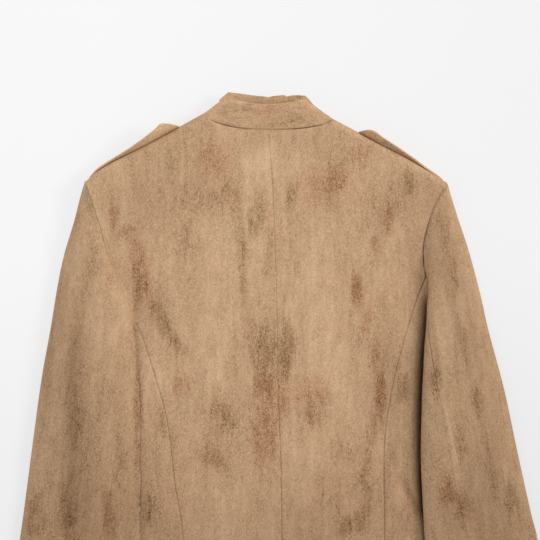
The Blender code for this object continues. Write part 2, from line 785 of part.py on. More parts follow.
def make_strap(collection, half):
    """Shoulder strap: a flat tab on edge along the shoulder, its end standing off it."""
    outward = -half.inward(1.0)

    def edge(reach):
        """Return one long edge of the strap, its points' z being half the strap's width."""
        points = []
        for station in half.side.strap:
            point = half.shoulder.at(station.along / half.shoulder.length)
            point = point + outward * (min(station.stand_off, reach) - 0.5 * STRAP_WALL)
            points.append(Vector((point.x, point.y, station.half_width)))
        return Curve(points)

    lower = edge(STRAP_FOOT)
    upper = edge(math.inf)

    def place(across, share):
        point = blend(lower.at(share), upper.at(share), 0.5 + 0.5 * across)
        return Vector((point.x, point.y, SHOULDER_SEAM_Z + point.z * across))

    columns = steps(STRAP_COLUMNS, -1.0, 1.0)
    name = "shoulder_strap_" + half.side.name
    flip = half.side.sign > 0.0
    return make_cloth(
        collection, name, columns, steps(STRAP_ROWS), place, STRAP_WALL, flip, centred=True
    )


def main():
    for old in list(bpy.data.objects):
        bpy.data.objects.remove(old, do_unlink=True)
    collection = bpy.data.collections.new("suede_jacket")
    bpy.context.scene.collection.children.link(collection)
    for side in (LEFT, RIGHT):
        half = BodyHalf(side)
        make_back(collection, half)
        make_side_back(collection, half)
        edge_x = LEFT_FRONT_EDGE_X if side is LEFT else RIGHT_FRONT_EDGE_X
        make_front(collection, half, edge_x, OVERLAP_LIFT)
        sleeve = Sleeve(half)
        make_sleeve(collection, sleeve, "upper")
        make_sleeve(collection, sleeve, "under")
        make_strap(collection, half)
    make_collar(collection)


main()
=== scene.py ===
"""Suede jacket with a stand collar, laid flat on its front: the dressed cloth.

X runs to the right of the back, Y from the hem to the collar and Z up from the surface the
jacket lies on.  Every size below is in millimetres; meshes are written in metres.  Each
piece of cloth is a grid laid between its seam lines, pressed down along them, creased, and
given a wall.
"""

import logging
import math
from dataclasses import dataclass, field
from enum import Enum
from functools import partial
from typing import Any, Callable

import bpy
import numpy as np
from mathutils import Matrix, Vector


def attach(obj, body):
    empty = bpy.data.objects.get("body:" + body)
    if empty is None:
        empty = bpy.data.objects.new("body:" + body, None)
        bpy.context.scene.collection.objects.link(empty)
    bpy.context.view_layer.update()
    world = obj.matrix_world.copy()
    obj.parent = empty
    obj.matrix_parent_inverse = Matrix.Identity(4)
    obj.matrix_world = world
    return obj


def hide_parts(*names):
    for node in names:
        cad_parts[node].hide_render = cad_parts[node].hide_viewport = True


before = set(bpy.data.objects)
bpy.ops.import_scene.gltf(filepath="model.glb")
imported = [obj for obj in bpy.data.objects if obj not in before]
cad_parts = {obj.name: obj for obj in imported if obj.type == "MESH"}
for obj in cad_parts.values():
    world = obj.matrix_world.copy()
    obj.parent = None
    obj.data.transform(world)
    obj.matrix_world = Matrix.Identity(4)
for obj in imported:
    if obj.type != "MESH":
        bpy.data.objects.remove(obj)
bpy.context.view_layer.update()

LOG = logging.getLogger("suede_jacket")

MM = 0.001
BODY = "root"
FOLD_ANGLE = 50.0
RANGE_SOCKETS = ("From Min", "From Max", "To Min", "To Max")
NUMBER_OUTPUT = 1
HEIGHT_STEPS = 400

Array = np.ndarray
Place = Callable[[Array], Array]


class Face(Enum):
    """The two layers of the jacket as it lies."""

    BACK = "back"
    FRONT = "front"


class SleevePart(Enum):
    """The two pieces of a sleeve."""

    UPPER = "upper"
    UNDER = "under"


@dataclass(frozen=True)
class SideSizes:
    """The seam lines of one half.

    shoulder has x, y; the seams have x, y, z; a ring has its outer fold's x and y, its inner
    fold's x and y, the two folds' heights and how far its top stands above them; back_seam
    is where the back sleeve seam crosses each ring, in degrees; strap has the distance along
    the shoulder from the neck, how far the strap stands off it and half its width;
    fold_settle is how far the sleeve's inner fold has sunk on to the body and fold_roundness
    how gently it rises from there; princess_dip, at the hem and high up, armhole_dip, and
    back_seam_dip, low and high on the sleeve, are how deep those seams are pressed, where
    one below zero is a seam that stands up.
    """

    name: str
    sign: float
    neck_y: float
    shoulder: tuple[tuple[float, ...], ...]
    princess: tuple[tuple[float, ...], ...]
    armhole: tuple[tuple[float, ...], ...]
    front_armhole: tuple[tuple[float, ...], ...]
    side_seam: tuple[tuple[float, ...], ...]
    rings: tuple[tuple[float, ...], ...]
    back_seam: tuple[float, ...]
    strap: tuple[tuple[float, ...], ...]
    fold_settle: float
    fold_roundness: float
    princess_dip: tuple[float, float]
    armhole_dip: float
    back_seam_dip: tuple[float, float]


CENTRE_BACK = (
    (7, -198, 12),
    (6.3, -68, 14),
    (5.5, 14, 15),
    (2.6, 96, 17),
    (1.4, 178, 19.5),
    (-0.7, 260, 23),
    (-4.8, 350, 28),
)

LEFT = SideSizes(
    name="left",
    sign=-1.0,
    neck_y=418.5,
    shoulder=((-148.5, 381.6), (-199.0, 355.0), (-217.7, 339.7)),
    princess=(
        (-105, -198, 11),
        (-106, -68, 12.5),
        (-116, 0, 12.5),
        (-121, 45, 12.5),
        (-127, 80, 12.5),
        (-139.5, 122, 12),
        (-153.3, 165, 11),
    ),
    armhole=(
        (-168.5, 167, 8.5),
        (-160.7, 180, 10.5),
        (-166, 197, 12),
        (-177, 222, 14.5),
        (-191.5, 257.6, 18),
        (-201, 292, 22),
    ),
    front_armhole=(
        (-173.5, 167, 4),
        (-171.5, 181, 1.2),
        (-171, 198, 0),
        (-177.5, 222, 0),
        (-190, 257.6, 0),
        (-201.5, 292, 0),
    ),
    side_seam=(
        (-212, -198, 4),
        (-197, -60, 4),
        (-190, 11, 4),
        (-200, 75, 4),
        (-198, 118, 4),
    ),
    rings=(
        (-222.5, 325, -162, 166, 15, 14, 9),
        (-230.5, 294, -159.3, 151, 12, 17, 12),
        (-241.3, 258.8, -158.3, 136, 9, 17.5, 14),
        (-249.2, 221.7, -157.5, 121, 8, 17.5, 15),
        (-257.6, 171, -156, 104, 7.5, 17.5, 15),
        (-267.3, 117.4, -155, 80, 7, 17, 14.5),
        (-276.4, 51.9, -155, 30, 7, 16.5, 13.5),
        (-285.7, -19.4, -155.8, -28, 6.5, 16.5, 12.5),
        (-292.5, -68.4, -156.6, -75, 6.5, 16.5, 12),
        (-305, -146, -170, -158, 6, 15.5, 11),
        (-318, -226, -193, -243, 5.5, 13, 10),
    ),
    back_seam=(26.0, 22.0, 18.0, 14.0, 14.0, 20.0, 36.0, 55.0, 63.0, 70.0, 76.0, 80.0),
    strap=(
        (33, 1.2, 4),
        (37, 5, 9),
        (42, 9, 12),
        (50, 13, 14),
        (57, 11.2, 14),
        (70, 8.9, 14),
        (91, 6, 14.5),
        (112, 4.2, 15),
        (137, 2.6, 15),
        (151, 0.8, 15),
    ),
    fold_settle=3.2,
    fold_roundness=2.0,
    princess_dip=(1.25, 0.45),
    armhole_dip=-0.7,
    back_seam_dip=(0.2, 0.2),
)

RIGHT = SideSizes(
    name="right",
    sign=1.0,
    neck_y=411.8,
    shoulder=((116.7, 384.0), (146.3, 368.0), (182.9, 346.5), (195.0, 338.6)),
    princess=(
        (126, -198, 11),
        (124, -68, 12.5),
        (123, 18, 12.5),
        (125, 60, 12.5),
        (133, 108, 12.5),
        (146, 160, 12),
        (158, 197, 11.5),
    ),
    armhole=(
        (179.5, 213, 8.5),
        (171.5, 231, 10.5),
        (168.2, 248, 13),
        (168.5, 270, 16),
        (174.3, 295, 20),
        (180.8, 314, 23),
    ),
    front_armhole=(
        (184.5, 213, 4),
        (183, 228, 1.2),
        (177, 246, 0),
        (172.5, 266, 0),
        (175, 295, 0),
        (181.5, 314, 0),
    ),
    side_seam=(
        (221, -198, 4),
        (206, -50, 4),
        (200, 11, 4),
        (210, 90, 4),
        (208, 155, 4),
    ),
    rings=(
        (199.5, 324, 174, 210, 15, 14.5, 9),
        (207, 300.3, 172, 197, 12, 17, 12),
        (220, 261, 171.5, 184, 9, 17.5, 14),
        (233, 212.6, 170, 164, 8, 17.5, 15),
        (242.4, 171, 168.3, 142, 7.5, 17.5, 15),
        (260.6, 102.6, 166, 88, 7, 17, 14.5),
        (275.9, 30.8, 164.7, 24, 6.5, 16.5, 13),
        (291.2, -38.2, 168, -46, 6.5, 16.5, 12.5),
        (298.7, -68.4, 171, -78, 6.5, 16.5, 12),
        (312, -146, 184, -160, 6, 15.5, 11),
        (325, -226, 203, -245, 5.5, 13, 10),
    ),
    back_seam=(26.0, 22.0, 18.0, 16.0, 24.0, 38.0, 56.0, 66.0, 74.0, 77.0, 80.0, 84.0),
    strap=(
        (33, 1, 4),
        (37, 4.4, 9),
        (41, 7.4, 12),
        (47, 9.8, 14),
        (63, 7.8, 14),
        (82, 6.4, 14.5),
        (100, 4.8, 15),
        (119, 2.9, 15),
        (134, 1.9, 15),
        (143, 0.6, 15),
    ),
    fold_settle=0.0,
    fold_roundness=0.7,
    princess_dip=(1.5, 1.15),
    armhole_dip=0.7,
    back_seam_dip=(0.0, 1.0),
)


def mix(start: Any, end: Any, share: Any) -> Array:
    """Return the point or number at a share of the way between two.

    Args:
        start: A point or number.
        end: Another.
        share: The share.

    Returns:
        What is there.
    """
    share = np.asarray(share, float)
    start, end = np.asarray(start, float), np.asarray(end, float)
    if max(start.ndim, end.ndim) > share.ndim or start.shape[-1:] == (3,):
        share = share[..., None]
    return start + (end - start) * share


def smooth_step(share: Any) -> Array:
    """Return a share eased in and out, and held between 0 and 1."""
    share = np.clip(share, 0.0, 1.0)
    return share * share * (3.0 - 2.0 * share)


@dataclass(frozen=True)
class Fade:
    """How something grows from 0 to 1: where it starts and how much further on it is full."""

    start: float
    run: float

    def at(self, value: Any) -> Array:
        """Return the share at each value, eased in and out."""
        return smooth_step((value - self.start) / self.run)


def unit(vectors: Array) -> Array:
    """Return the vectors at length 1."""
    return vectors / np.maximum(np.linalg.norm(vectors, axis=-1, keepdims=True), 1e-9)


def bend_between(start: Array, end: Array, leave: Array, arrive: Array, t: Array) -> Array:
    """Return the point at t of a curve with these ends and end slopes.

    Args:
        start: One end.
        end: The other.
        leave: The slope at the start.
        arrive: The slope at the end.
        t: How far along, from 0 to 1.

    Returns:
        The point.
    """
    return (
        start * (2 * t**3 - 3 * t**2 + 1)
        + leave * (t**3 - 2 * t**2 + t)
        + end * (3 * t**2 - 2 * t**3)
        + arrive * (t**3 - t**2)
    )


def quarter_turn(steps: int) -> Array:
    """Return the angles of a quarter turn in even steps, without its start, in radians."""
    return np.radians(np.linspace(0.0, 90.0, steps + 1)[1:])


def rolled(start: Array, end: Array, turn: Array) -> Array:
    """Return points of a rounded edge of cloth, from where its flat ends to its seam.

    Args:
        start: Where the flat ends.
        end: The seam.
        turn: How far round the edge each point is, in radians.

    Returns:
        The points.
    """
    point = mix(start, end, np.sin(turn))
    point[..., 2] = end[..., 2] + (start[..., 2] - end[..., 2]) * np.cos(turn)
    return point


class SeamLine:
    """A smooth line through its points, run from 0 to 1 by the length between them."""

    def __init__(self, points: Any) -> None:
        """Measure the line.

        Args:
            points: Its points, x, y and z or x and y.
        """
        self.points = np.array(points, float)
        gaps = np.linalg.norm(np.diff(self.points, axis=0), axis=1)
        self.knots = np.concatenate(([0.0], np.cumsum(gaps)))
        self.length = float(self.knots[-1])
        number = np.arange(len(self.points))
        before = np.maximum(number - 1, 0)
        after = np.minimum(number + 1, len(self.points) - 1)
        rise = self.points[after] - self.points[before]
        self.slopes = rise / (self.knots[after] - self.knots[before])[:, None]

    def at(self, share: Any) -> Array:
        """Return the points at shares of the length.

        Args:
            share: The shares.

        Returns:
            A point for each.
        """
        distance = np.clip(share, 0.0, 1.0) * self.length
        index = np.clip(np.searchsorted(self.knots, distance) - 1, 0, len(self.points) - 2)
        span = (self.knots[index + 1] - self.knots[index])[..., None]
        t = (distance - self.knots[index])[..., None] / span
        return bend_between(
            self.points[index],
            self.points[index + 1],
            self.slopes[index] * span,
            self.slopes[index + 1] * span,
            t,
        )

    def at_height(self, y: Array) -> Array:
        """Return the points of a rising line at heights up the body."""
        shares = np.linspace(0.0, 1.0, HEIGHT_STEPS)
        return self.at(np.interp(y, self.at(shares)[:, 1], shares))


@dataclass(frozen=True)
class JoinedLine:
    """Two lines end to end, joined at a share of the run, with a corner between them."""

    first: SeamLine
    second: SeamLine
    joint: float

    def at(self, share: Any) -> Array:
        """Return the points at shares of the whole run.

        Args:
            share: The shares.

        Returns:
            A point for each.
        """
        share = np.asarray(share, float)
        low = self.first.at(share / self.joint)
        high = self.second.at((share - self.joint) / (1.0 - self.joint))
        return np.where((share <= self.joint)[..., None], low, high)


def patch(left: Place, right: Place, low: Place, high: Place, u: Array, v: Array) -> Array:
    """Return the points of a surface between four seam lines that meet at its corners.

    Args:
        left: The seam line at u 0, as a function of v.
        right: The seam line at u 1, as a function of v.
        low: The edge at v 0, as a function of u.
        high: The edge at v 1, as a function of u.
        u: Shares across.
        v: Shares up.

    Returns:
        One point for each u and v.
    """
    u, v = np.broadcast_arrays(u, v)
    across = mix(left(v), right(v), u)
    along = mix(low(u), high(u), v)
    zero, one = np.zeros_like(u), np.ones_like(u)
    corners = mix(mix(low(zero), low(one), u), mix(high(zero), high(one), u), v)
    return across + along - corners


def seam_steps(length: float, spacing: float, near: tuple[float, ...]) -> Array:
    """Return shares from 0 to 1, close together beside both ends.

    Args:
        length: How long the run is.
        spacing: The distance between steps away from the ends.
        near: Distances from each end that get a step of their own.

    Returns:
        The shares in order.
    """
    inner = np.array(near) / length
    count = max(2, round((length - 2.0 * near[-1]) / spacing))
    middle = np.linspace(inner[-1], 1.0 - inner[-1], count + 1)
    return np.concatenate((inner[:-1], middle, 1.0 - inner[:-1][::-1]))


def stretched(points: Array) -> Array:
    """Return a grid whose heights run smoothly between those of its edges, as cloth hangs.

    Args:
        points: Rows by columns of points.  Only the edges' heights are used.

    Returns:
        The same grid with its inner heights set, each a mean of the edges' heights that
        weighs an edge by how wide it is seen from the place (mean value coordinates).
    """
    rim = np.concatenate((points[0, :-1], points[:-1, -1], points[-1, :0:-1], points[:0:-1, 0]))
    inner = points[1:-1, 1:-1]
    total, height = np.zeros(inner.shape[:2]), np.zeros(inner.shape[:2])
    for start, end in zip(rim, np.roll(rim, -1, axis=0)):
        first, second = start[:2] - inner[..., :2], end[:2] - inner[..., :2]
        near, far = np.linalg.norm(first, axis=-1), np.linalg.norm(second, axis=-1)
        cross = first[..., 0] * second[..., 1] - first[..., 1] * second[..., 0]
        half = cross / (near * far + (first * second).sum(axis=-1))
        total += half / near + half / far
        height += half / near * start[2] + half / far * end[2]
    points = points.copy()
    points[1:-1, 1:-1, 2] = height / total
    return points


@dataclass(frozen=True)
class BodySizes:
    """The sizes that both halves of the body share, with the neckline's.

    A share is of a seam's run: neck_share is the collar's of the top edge and the armhole
    shares are where the armhole starts up the outer edge.  raised_to is how far short of
    the ramp's end the overlap has its full height.
    """

    hem_y: float = -198.0
    side_roll: float = 5.0
    side_back_z: float = 8.5
    shoulder_roll: float = 7.0
    shoulder_seam_z: float = 16.0
    neck_share: float = 0.36
    back_armhole_share: float = 0.8
    front_armhole_share: float = 0.78
    neck_back_z: float = 30.0
    tip_back_z: float = 26.0
    neck_centre_x: float = -8.3
    neck_half_width: float = 73.0
    neck_half_depth: float = 14.0
    back_neck_y: float = 399.0
    front_neck_y: float = 400.0
    left_edge_x: float = 12.5
    right_edge_x: float = -9.0
    overlap_lift: float = 2.6
    overlap_ramp: float = 16.0
    raised_to: float = 1.0

    def neck_point(self, angle: Any, sign: float, neck_y: float) -> Array:
        """Return points of the collar seam: 0 at the back, 90 at the side, 180 in front.

        Args:
            angle: How far round, in degrees.
            sign: Below zero on the left.
            neck_y: The seam's height up the body at the side.

        Returns:
            The points.
        """
        turn = np.radians(np.asarray(angle, float))
        x = self.neck_centre_x + sign * self.neck_half_width * np.sin(turn)
        cosine = np.cos(turn)
        at_back = cosine >= 0.0
        back_y = self.back_neck_y + (neck_y - self.back_neck_y) * (1.0 - cosine)
        front_y = self.front_neck_y + (neck_y - self.front_neck_y) * (1.0 + cosine)
        back_z = self.shoulder_seam_z + self.neck_half_depth * cosine
        front_z = self.shoulder_seam_z * (1.0 + cosine)
        return np.stack(
            (x, np.where(at_back, back_y, front_y), np.where(at_back, back_z, front_z)), axis=-1
        )

    def raised(self, x: Array, height: float) -> Array:
        """Return how far what lies on the right front's edge is raised."""
        ramp = Fade(self.right_edge_x - self.overlap_ramp, self.overlap_ramp - self.raised_to)
        return height * ramp.at(x)


BODY_SIZES = BodySizes()


class HalfPattern:
    """The seam lines of one half of the body, and the turned edges between its layers."""

    def __init__(self, side: SideSizes, sizes: BodySizes) -> None:
        """Lay the seam lines.

        Args:
            side: The half's own seam tables.
            sizes: What both halves share.
        """
        self.side = side
        self.sizes = sizes
        corner = sizes.neck_point(90.0, side.sign, side.neck_y)
        rest = [(x, y, sizes.shoulder_seam_z) for x, y in side.shoulder]
        self.shoulder = SeamLine([corner, *rest])
        self.centre = SeamLine([*CENTRE_BACK, self.turn_start(0.0, Face.BACK)])
        self.princess = SeamLine([*side.princess, side.armhole[1]])
        self.armhole = SeamLine([*side.armhole[1:], self.turn_start(1.0, Face.BACK)])
        self.underarm = SeamLine(side.armhole[:2])
        self.side_seam = SeamLine([*side.side_seam, side.front_armhole[0]])
        self.front_armhole = SeamLine([*side.front_armhole, self.turn_start(1.0, Face.FRONT)])

    def top_edge(self, share: Any, face: Face) -> Array:
        """Return the collar and shoulder seam of a layer, neck centre to shoulder tip.

        Args:
            share: The shares.
            face: Which layer.

        Returns:
            A point for each share.
        """
        share = np.asarray(share, float)
        neck_share = self.sizes.neck_share
        angle = 90.0 * share / neck_share
        if face is Face.FRONT:
            angle = 180.0 - angle
        neck = self.sizes.neck_point(angle, self.side.sign, self.side.neck_y)
        along = self.shoulder.at((share - neck_share) / (1.0 - neck_share))
        return np.where((share <= neck_share)[..., None], neck, along)

    def inward(self, share: Any) -> Array:
        """Return the direction from the top edge into the panel.

        Args:
            share: The shares.

        Returns:
            A direction for each share.
        """
        run = self.shoulder.points[-1] - self.shoulder.points[0]
        across = unit(np.array((run[1], -run[0], 0.0))) * self.side.sign
        straight = np.array((0.0, -1.0, 0.0))
        return unit(mix(straight, across, smooth_step(np.asarray(share) / self.sizes.neck_share)))

    def flat_height(self, share: Any, face: Face) -> Array:
        """Return the height of a layer beside its top edge.

        Args:
            share: The shares.
            face: Which layer.

        Returns:
            A height for each share.
        """
        share = np.asarray(share, float)
        if face is Face.FRONT:
            return np.zeros_like(share)
        return self.sizes.neck_back_z + (self.sizes.tip_back_z - self.sizes.neck_back_z) * share

    def turned(self, share: Any, turn: Any, face: Face) -> Array:
        """Return points of the quarter turn from a layer's flat to its top edge.

        Args:
            share: Shares of the top edge.
            turn: How far round the turn, in radians.
            face: Which layer.

        Returns:
            A point for each.
        """
        share, turn = np.broadcast_arrays(np.asarray(share, float), np.asarray(turn, float))
        edge = self.top_edge(share, face)
        reach = self.sizes.shoulder_roll * (1.0 - np.sin(turn))
        point = edge + self.inward(share) * reach[..., None]
        height = self.flat_height(share, face)
        point[..., 2] = edge[..., 2] + (height - edge[..., 2]) * np.cos(turn)
        return point

    def turn_start(self, share: Any, face: Face) -> Array:
        """Return where the flat of a layer starts to turn to its top edge."""
        return self.turned(share, 0.0, face)


@dataclass(frozen=True)
class Crease:
    """A soft ridge or trough along a line seen from above.

    height is above zero for a ridge and below it for a trough; lean makes one side steeper
    and taper says how soon it reaches its height: at 1/taper of its length from each end.
    steps is how many points the line is measured at and fall how fast its sides fall away.
    """

    line: tuple[tuple[float, float], ...]
    width: float
    height: float
    lean: float = 0.0
    taper: float = 3.5
    steps: int = 25
    fall: float = 1.6

    def relief(self, x: Array, y: Array) -> Array:
        """Return how far the crease lifts the cloth at each place.

        Args:
            x: Places across.
            y: Places up.

        Returns:
            The lift.
        """
        path = SeamLine(self.line).at(np.linspace(0.0, 1.0, self.steps))
        best = np.full(x.shape, np.inf)
        side = np.zeros(x.shape)
        along = np.zeros(x.shape)
        for number, (start, end) in enumerate(zip(path, path[1:])):
            run = end - start
            length = float(np.hypot(*run))
            t = ((x - start[0]) * run[0] + (y - start[1]) * run[1]) / length**2
            held = np.clip(t, 0.0, 1.0)
            off_x = x - start[0] - held * run[0]
            off_y = y - start[1] - held * run[1]
            distance = np.hypot(off_x, off_y)
            nearer = distance < best
            best = np.where(nearer, distance, best)
            cross = (run[0] * off_y - run[1] * off_x) / length
            side = np.where(nearer, cross, side)
            along = np.where(nearer, (number + held) / (len(path) - 1), along)
        spread = best / self.width
        taper = smooth_step(np.minimum(along, 1.0 - along) * self.taper)
        shape = np.exp(-self.fall * spread**2) * (1.0 + self.lean * side / self.width)
        return self.height * shape * taper


@dataclass(frozen=True)
class NapPatch:
    """A place where the nap lies darker (depth above zero) or lighter.

    tilt turns it, in degrees; warmth is above zero where it shows redder and below zero
    where it shows more olive; fall is how fast it dies out.
    """

    x: float
    y: float
    half_width: float
    half_length: float
    tilt: float
    depth: float
    warmth: float = 0.0
    fall: float = 0.9

    def spread(self, x: Array, y: Array, power: float) -> Array:
        """Return how much of the patch reaches each place.

        Args:
            x: Places across.
            y: Places up.
            power: How sharp its edge is.

        Returns:
            The reach, from 0 to 1.
        """
        turn = math.radians(self.tilt)
        across = (x - self.x) * math.cos(turn) + (y - self.y) * math.sin(turn)
        along = (y - self.y) * math.cos(turn) - (x - self.x) * math.sin(turn)
        distance = (across / self.half_width) ** 2 + (along / self.half_length) ** 2
        return np.exp(-self.fall * distance**power)


# Creases of the body's face that shows, then of its underside and of the sleeves: the points
# of the line, the width, the height, the lean and the taper
BACK_CREASES = (
    Crease(
        ((172.5, 244), (171, 180), (166, 115), (164.5, 40), (166, 0), (171, -62)), 8.4, -4.4, 0, 5.5
    ),
    Crease(
        ((173.5, 252), (172.5, 180), (167.5, 115), (165.5, 40), (168, -40), (185, -150)),
        3.6,
        -5,
        0,
        3.8,
    ),
    Crease(((136.8, 12.1), (152.8, -18.5), (170.7, -50.2)), 6, -2.4, 0.5),
    Crease(((124, 4), (142, -32), (160, -66)), 9, 1.8),
    Crease(((-142.8, 237.1), (-138.6, 205.2), (-130, 179), (-111.7, 156.2)), 8, -1.3, 0.4),
    Crease(((-145.9, 252), (-149.1, 215.2), (-152.5, 178.3)), 9, 1.2),
    Crease(((-206, 338), (-192, 303), (-180, 264)), 2.6, 0.8),
    Crease(((-199, 338), (-186, 300), (-182, 262)), 5, -0.7),
    Crease(((-38, 246), (-37, 190), (-45, 120)), 9, -0.5),
    Crease(((-70, 235), (-74, 150), (-66, 70)), 15, 0.7),
    Crease(((38, 330), (46, 230), (40, 120)), 17, 0.8),
    Crease(((20, 290), (17, 215), (21, 160)), 7, -0.5),
    Crease(((104, 300), (112, 205), (98, 110)), 14, 0.6),
    Crease(((140, 300), (150, 240), (143, 170)), 10, -0.7),
    Crease(((78, -70), (104, -40), (120, -32)), 10, -0.7),
    Crease(((-40, -20), (-46, -100), (-40, -180)), 16, 0.9),
    Crease(((62, 10), (70, -80), (60, -185)), 18, 1),
    Crease(((-88, -60), (-92, -130), (-84, -190)), 11, -0.9),
)
FRONT_CREASES = (
    Crease(((-150, 196), (-120, 150), (-70, 118)), 9, 1.6, 0.3),
    Crease(((-168, 150), (-130, 96), (-96, 60)), 8, 1.2),
    Crease(((154, 232), (120, 186), (66, 160)), 10, 1.5, -0.3),
    Crease(((186, 60), (150, 20), (104, 2)), 8, 1.3),
    Crease(((-184, 10), (-150, -22), (-112, -30)), 7, 1.2),
    Crease(((-50, 330), (-58, 250), (-40, 160)), 13, 0.9),
    Crease(((60, 330), (72, 246), (58, 140)), 12, 1),
    Crease(((-96, -40), (-104, -110), (-96, -190)), 12, 1.3),
    Crease(((84, -30), (96, -110), (90, -190)), 13, 1.2),
)
SLEEVE_CREASES = (
    Crease(
        ((-216, 226), (-229, 159.6), (-234.8, 91.2), (-232.6, 34.2), (-236, -22.8), (-233, -120)),
        12,
        -2.3,
    ),
    Crease(((-218, 334), (-205, 300), (-193, 262)), 2.6, 0.8),
    Crease(((-206, 190), (-211, 120), (-207, 40), (-212, -60)), 9, 1),
    Crease(((-176, 130), (-183, 60), (-178, -10)), 8, -0.9, 0.4),
    Crease(((-190, -20), (-198, -90), (-206, -170)), 10, -1.2, 0.4),
    Crease(((-262, 40), (-270, -40), (-284, -130)), 8, 0.9),
    Crease(((177.5, 196), (184, 158), (191, 112)), 3.2, 0.8),
    Crease(((196, 262), (206, 200), (210, 130)), 7, 0.8),
    Crease(((213, 225), (226, 150), (238, 70)), 7, -0.9, 0.3),
    Crease(((190, 140), (194, 60), (206, -10)), 8, 0.8),
    Crease(((232, 120), (246, 40), (262, -50)), 8, 1, 0.3),
    Crease(((212, 40), (222, -30), (240, -110)), 9, -1),
    Crease(((200, -60), (214, -120), (228, -190)), 9, 1.1),
)

# Nap seen from above, in the order of the body from the collar down, then the sleeves, with a
# few rows of painted light and shade marked where they stand: x, y, half width, half length, tilt,
# depth and warmth
NAP_ROWS = (
    (-11, 420, 15, 6, 0, 0.35, 0.6),
    (-33, 425, 6, 4.5, 0, 0.6),
    (1, 405, 22, 7, 0, 0.24),
    (20, 414, 12, 9, 0, 0.25, -0.7),
    (-54, 421, 9, 8, 0, 0.3, -0.5),
    (31, 419, 6, 8, 20, 0.28, 0.4),
    (12, 148, 11, 32, 0, 0.78),
    (-15, 140, 14, 42, 6, 0.75),
    (-6, 96, 20, 26, 0, 0.45, 0.6),
    (-14, 46, 14, 36, 0, 0.7, 0.9),
    (-57, 72, 15, 23, 12, 0.68),
    (-74, 26, 13, 23, 40, 0.66),
    (-157, 262, 9, 20, 14, 0.32, 0.7),
    (-155, 232, 10, 26, 6, 0.45, 1),
    (-146, 214, 7, 20, 10, 0.32, 0.8),
    (-158, 206, 5.5, 16, 0, 0.35, 0.4),
    (-130, 180, 8.5, 27, 24, 0.68),
    (-112, 152, 7, 16, 30, 0.55),
    (91, 218, 6.5, 21, 6, 1.0, 1),
    (103, 178, 6, 20, -14, 0.55, 0.4),
    (112, 144, 7, 22, 0, 0.45, 0.5),
    (-23, 300, 10, 22, -10, 0.75, -0.5),
    (-37, 236, 4, 34, 0, 0.6),
    (17, 322, 7, 15, 0, 0.6, -0.6),
    (16, 276, 4, 26, 0, 0.6),
    (-8, 262, 6, 30, 4, 0.4, -0.3),
    (-72, 363, 17, 21, 10, 0.42, 0.6),
    (-119, 368, 11, 17, 0, 0.36, -0.6),
    (-185, 301, 4.5, 13, 6, 0.6, 0.9),
    (-171, 283, 10, 8, 30, 0.5, 0.4),
    (-98, 320, 24, 20, 0, 0.35),
    (-56, 322, 16, 18, 0, 0.35, 0.4),
    (152, 336, 12, 14, 0, 0.55, -0.3),
    (138, 312, 16, 16, 0, 0.3),
    (16, 222, 7, 22, 0, 0.35),
    (98, 370, 13, 13, 0, 0.42, 0.5),
    (70, 348, 12, 15, 0, 0.42, 0.5),
    (52, 334, 30, 18, 0, 0.3, 0.6),
    (128, 296, 5, 20, 0, 0.45, 0.7),
    (112, 268, 5, 10, 0, 0.65, 1),
    (119.7, 97, 6.5, 34, 0, 0.95, 0.9),
    (108, 50, 6, 30, -4, 0.5, 0.2),
    (146, 106, 9, 16, 0, 0.8),
    (42, 100, 20, 18, 0, 0.3, 0.8),
    (42, 70, 7, 12, 30, 0.6, 0.4),
    (74, 34, 18, 14, 0, 0.35),
    (92, -50, 22, 14, 25, 0.64),
    (104, -6, 7, 24, 10, 0.6),
    (-142, -34, 11, 22, 0, 0.56),
    (-157, 96, 5, 34, 0, 0.65, 0.3),
    (-158, 30, 4, 44, 0, 0.5, 0.3),
    (-128, 66, 5, 16, 6, 0.6),
    (-106, 108, 10, 14, 0, 0.4, 0.6),
    (-101, 280, 11, 14, 10, 0.35),
    (-94, 260, 22, 9, 20, 0.4),
    (-16, 362, 26, 14, 0, -0.55),
    (-66, 262, 20, 40, 0, -0.45),
    (-77, 148, 15, 50, 0, -0.45),
    (50, 216, 19, 66, 0, -0.5),
    (-175, 180, 10, 40, 0, -0.4),
    (50, 30, 12, 22, 0, -0.4),
    (-128, 110, 9, 20, 0, -0.35),
    # the next two darken the left sleeve's valley, partly its nap and partly painted shade; the pale
    # one after them is a painted highlight on the armhole seam's ridge
    (-226, 80, 11, 90, 4, 0.5),
    (-236, -40, 12, 60, 4, 0.45),
    (-199.5, 300, 3.2, 44, 20.5, -0.8, -0.2),
    (-191, -34, 7, 34, 6, 0.75, 0.4),
    (-178, 20, 9, 40, 4, 0.4),
    (-200, 106, 8, 24, 4, 0.4),
    (-272, -50, 12, 30, 6, 0.5),
    (-206, 250, 8, 28, 0, 0.3, -0.4),
    (190, 296, 9, 26, 8, 0.45),
    (203, 232, 5, 26, 8, 0.55),
    (181, 116, 7, 26, 0, 0.58, 0.2),
    (213, 158, 5, 28, 10, 0.55),
    (228, 96, 7, 24, 8, 0.75),
    (212, 40, 12, 26, 12, 0.5),
    (194, -12, 10, 20, 0, 0.64, 0.4),
    (213, -30, 9, 22, 12, 0.7, 0.3),
    (244, 12, 7, 26, 10, 0.4),
    (268, -23, 8, 18, 10, 0.65),
    # a painted highlight on the ridge of the right sleeve's back seam
    (199, 52, 1.5, 40, 12, -0.8),
    (192, 165, 8, 34, 6, -0.45),
    (222, 44, 6, 30, 10, -0.35),
)
NAP_PATCHES = tuple(NapPatch(*row) for row in NAP_ROWS)
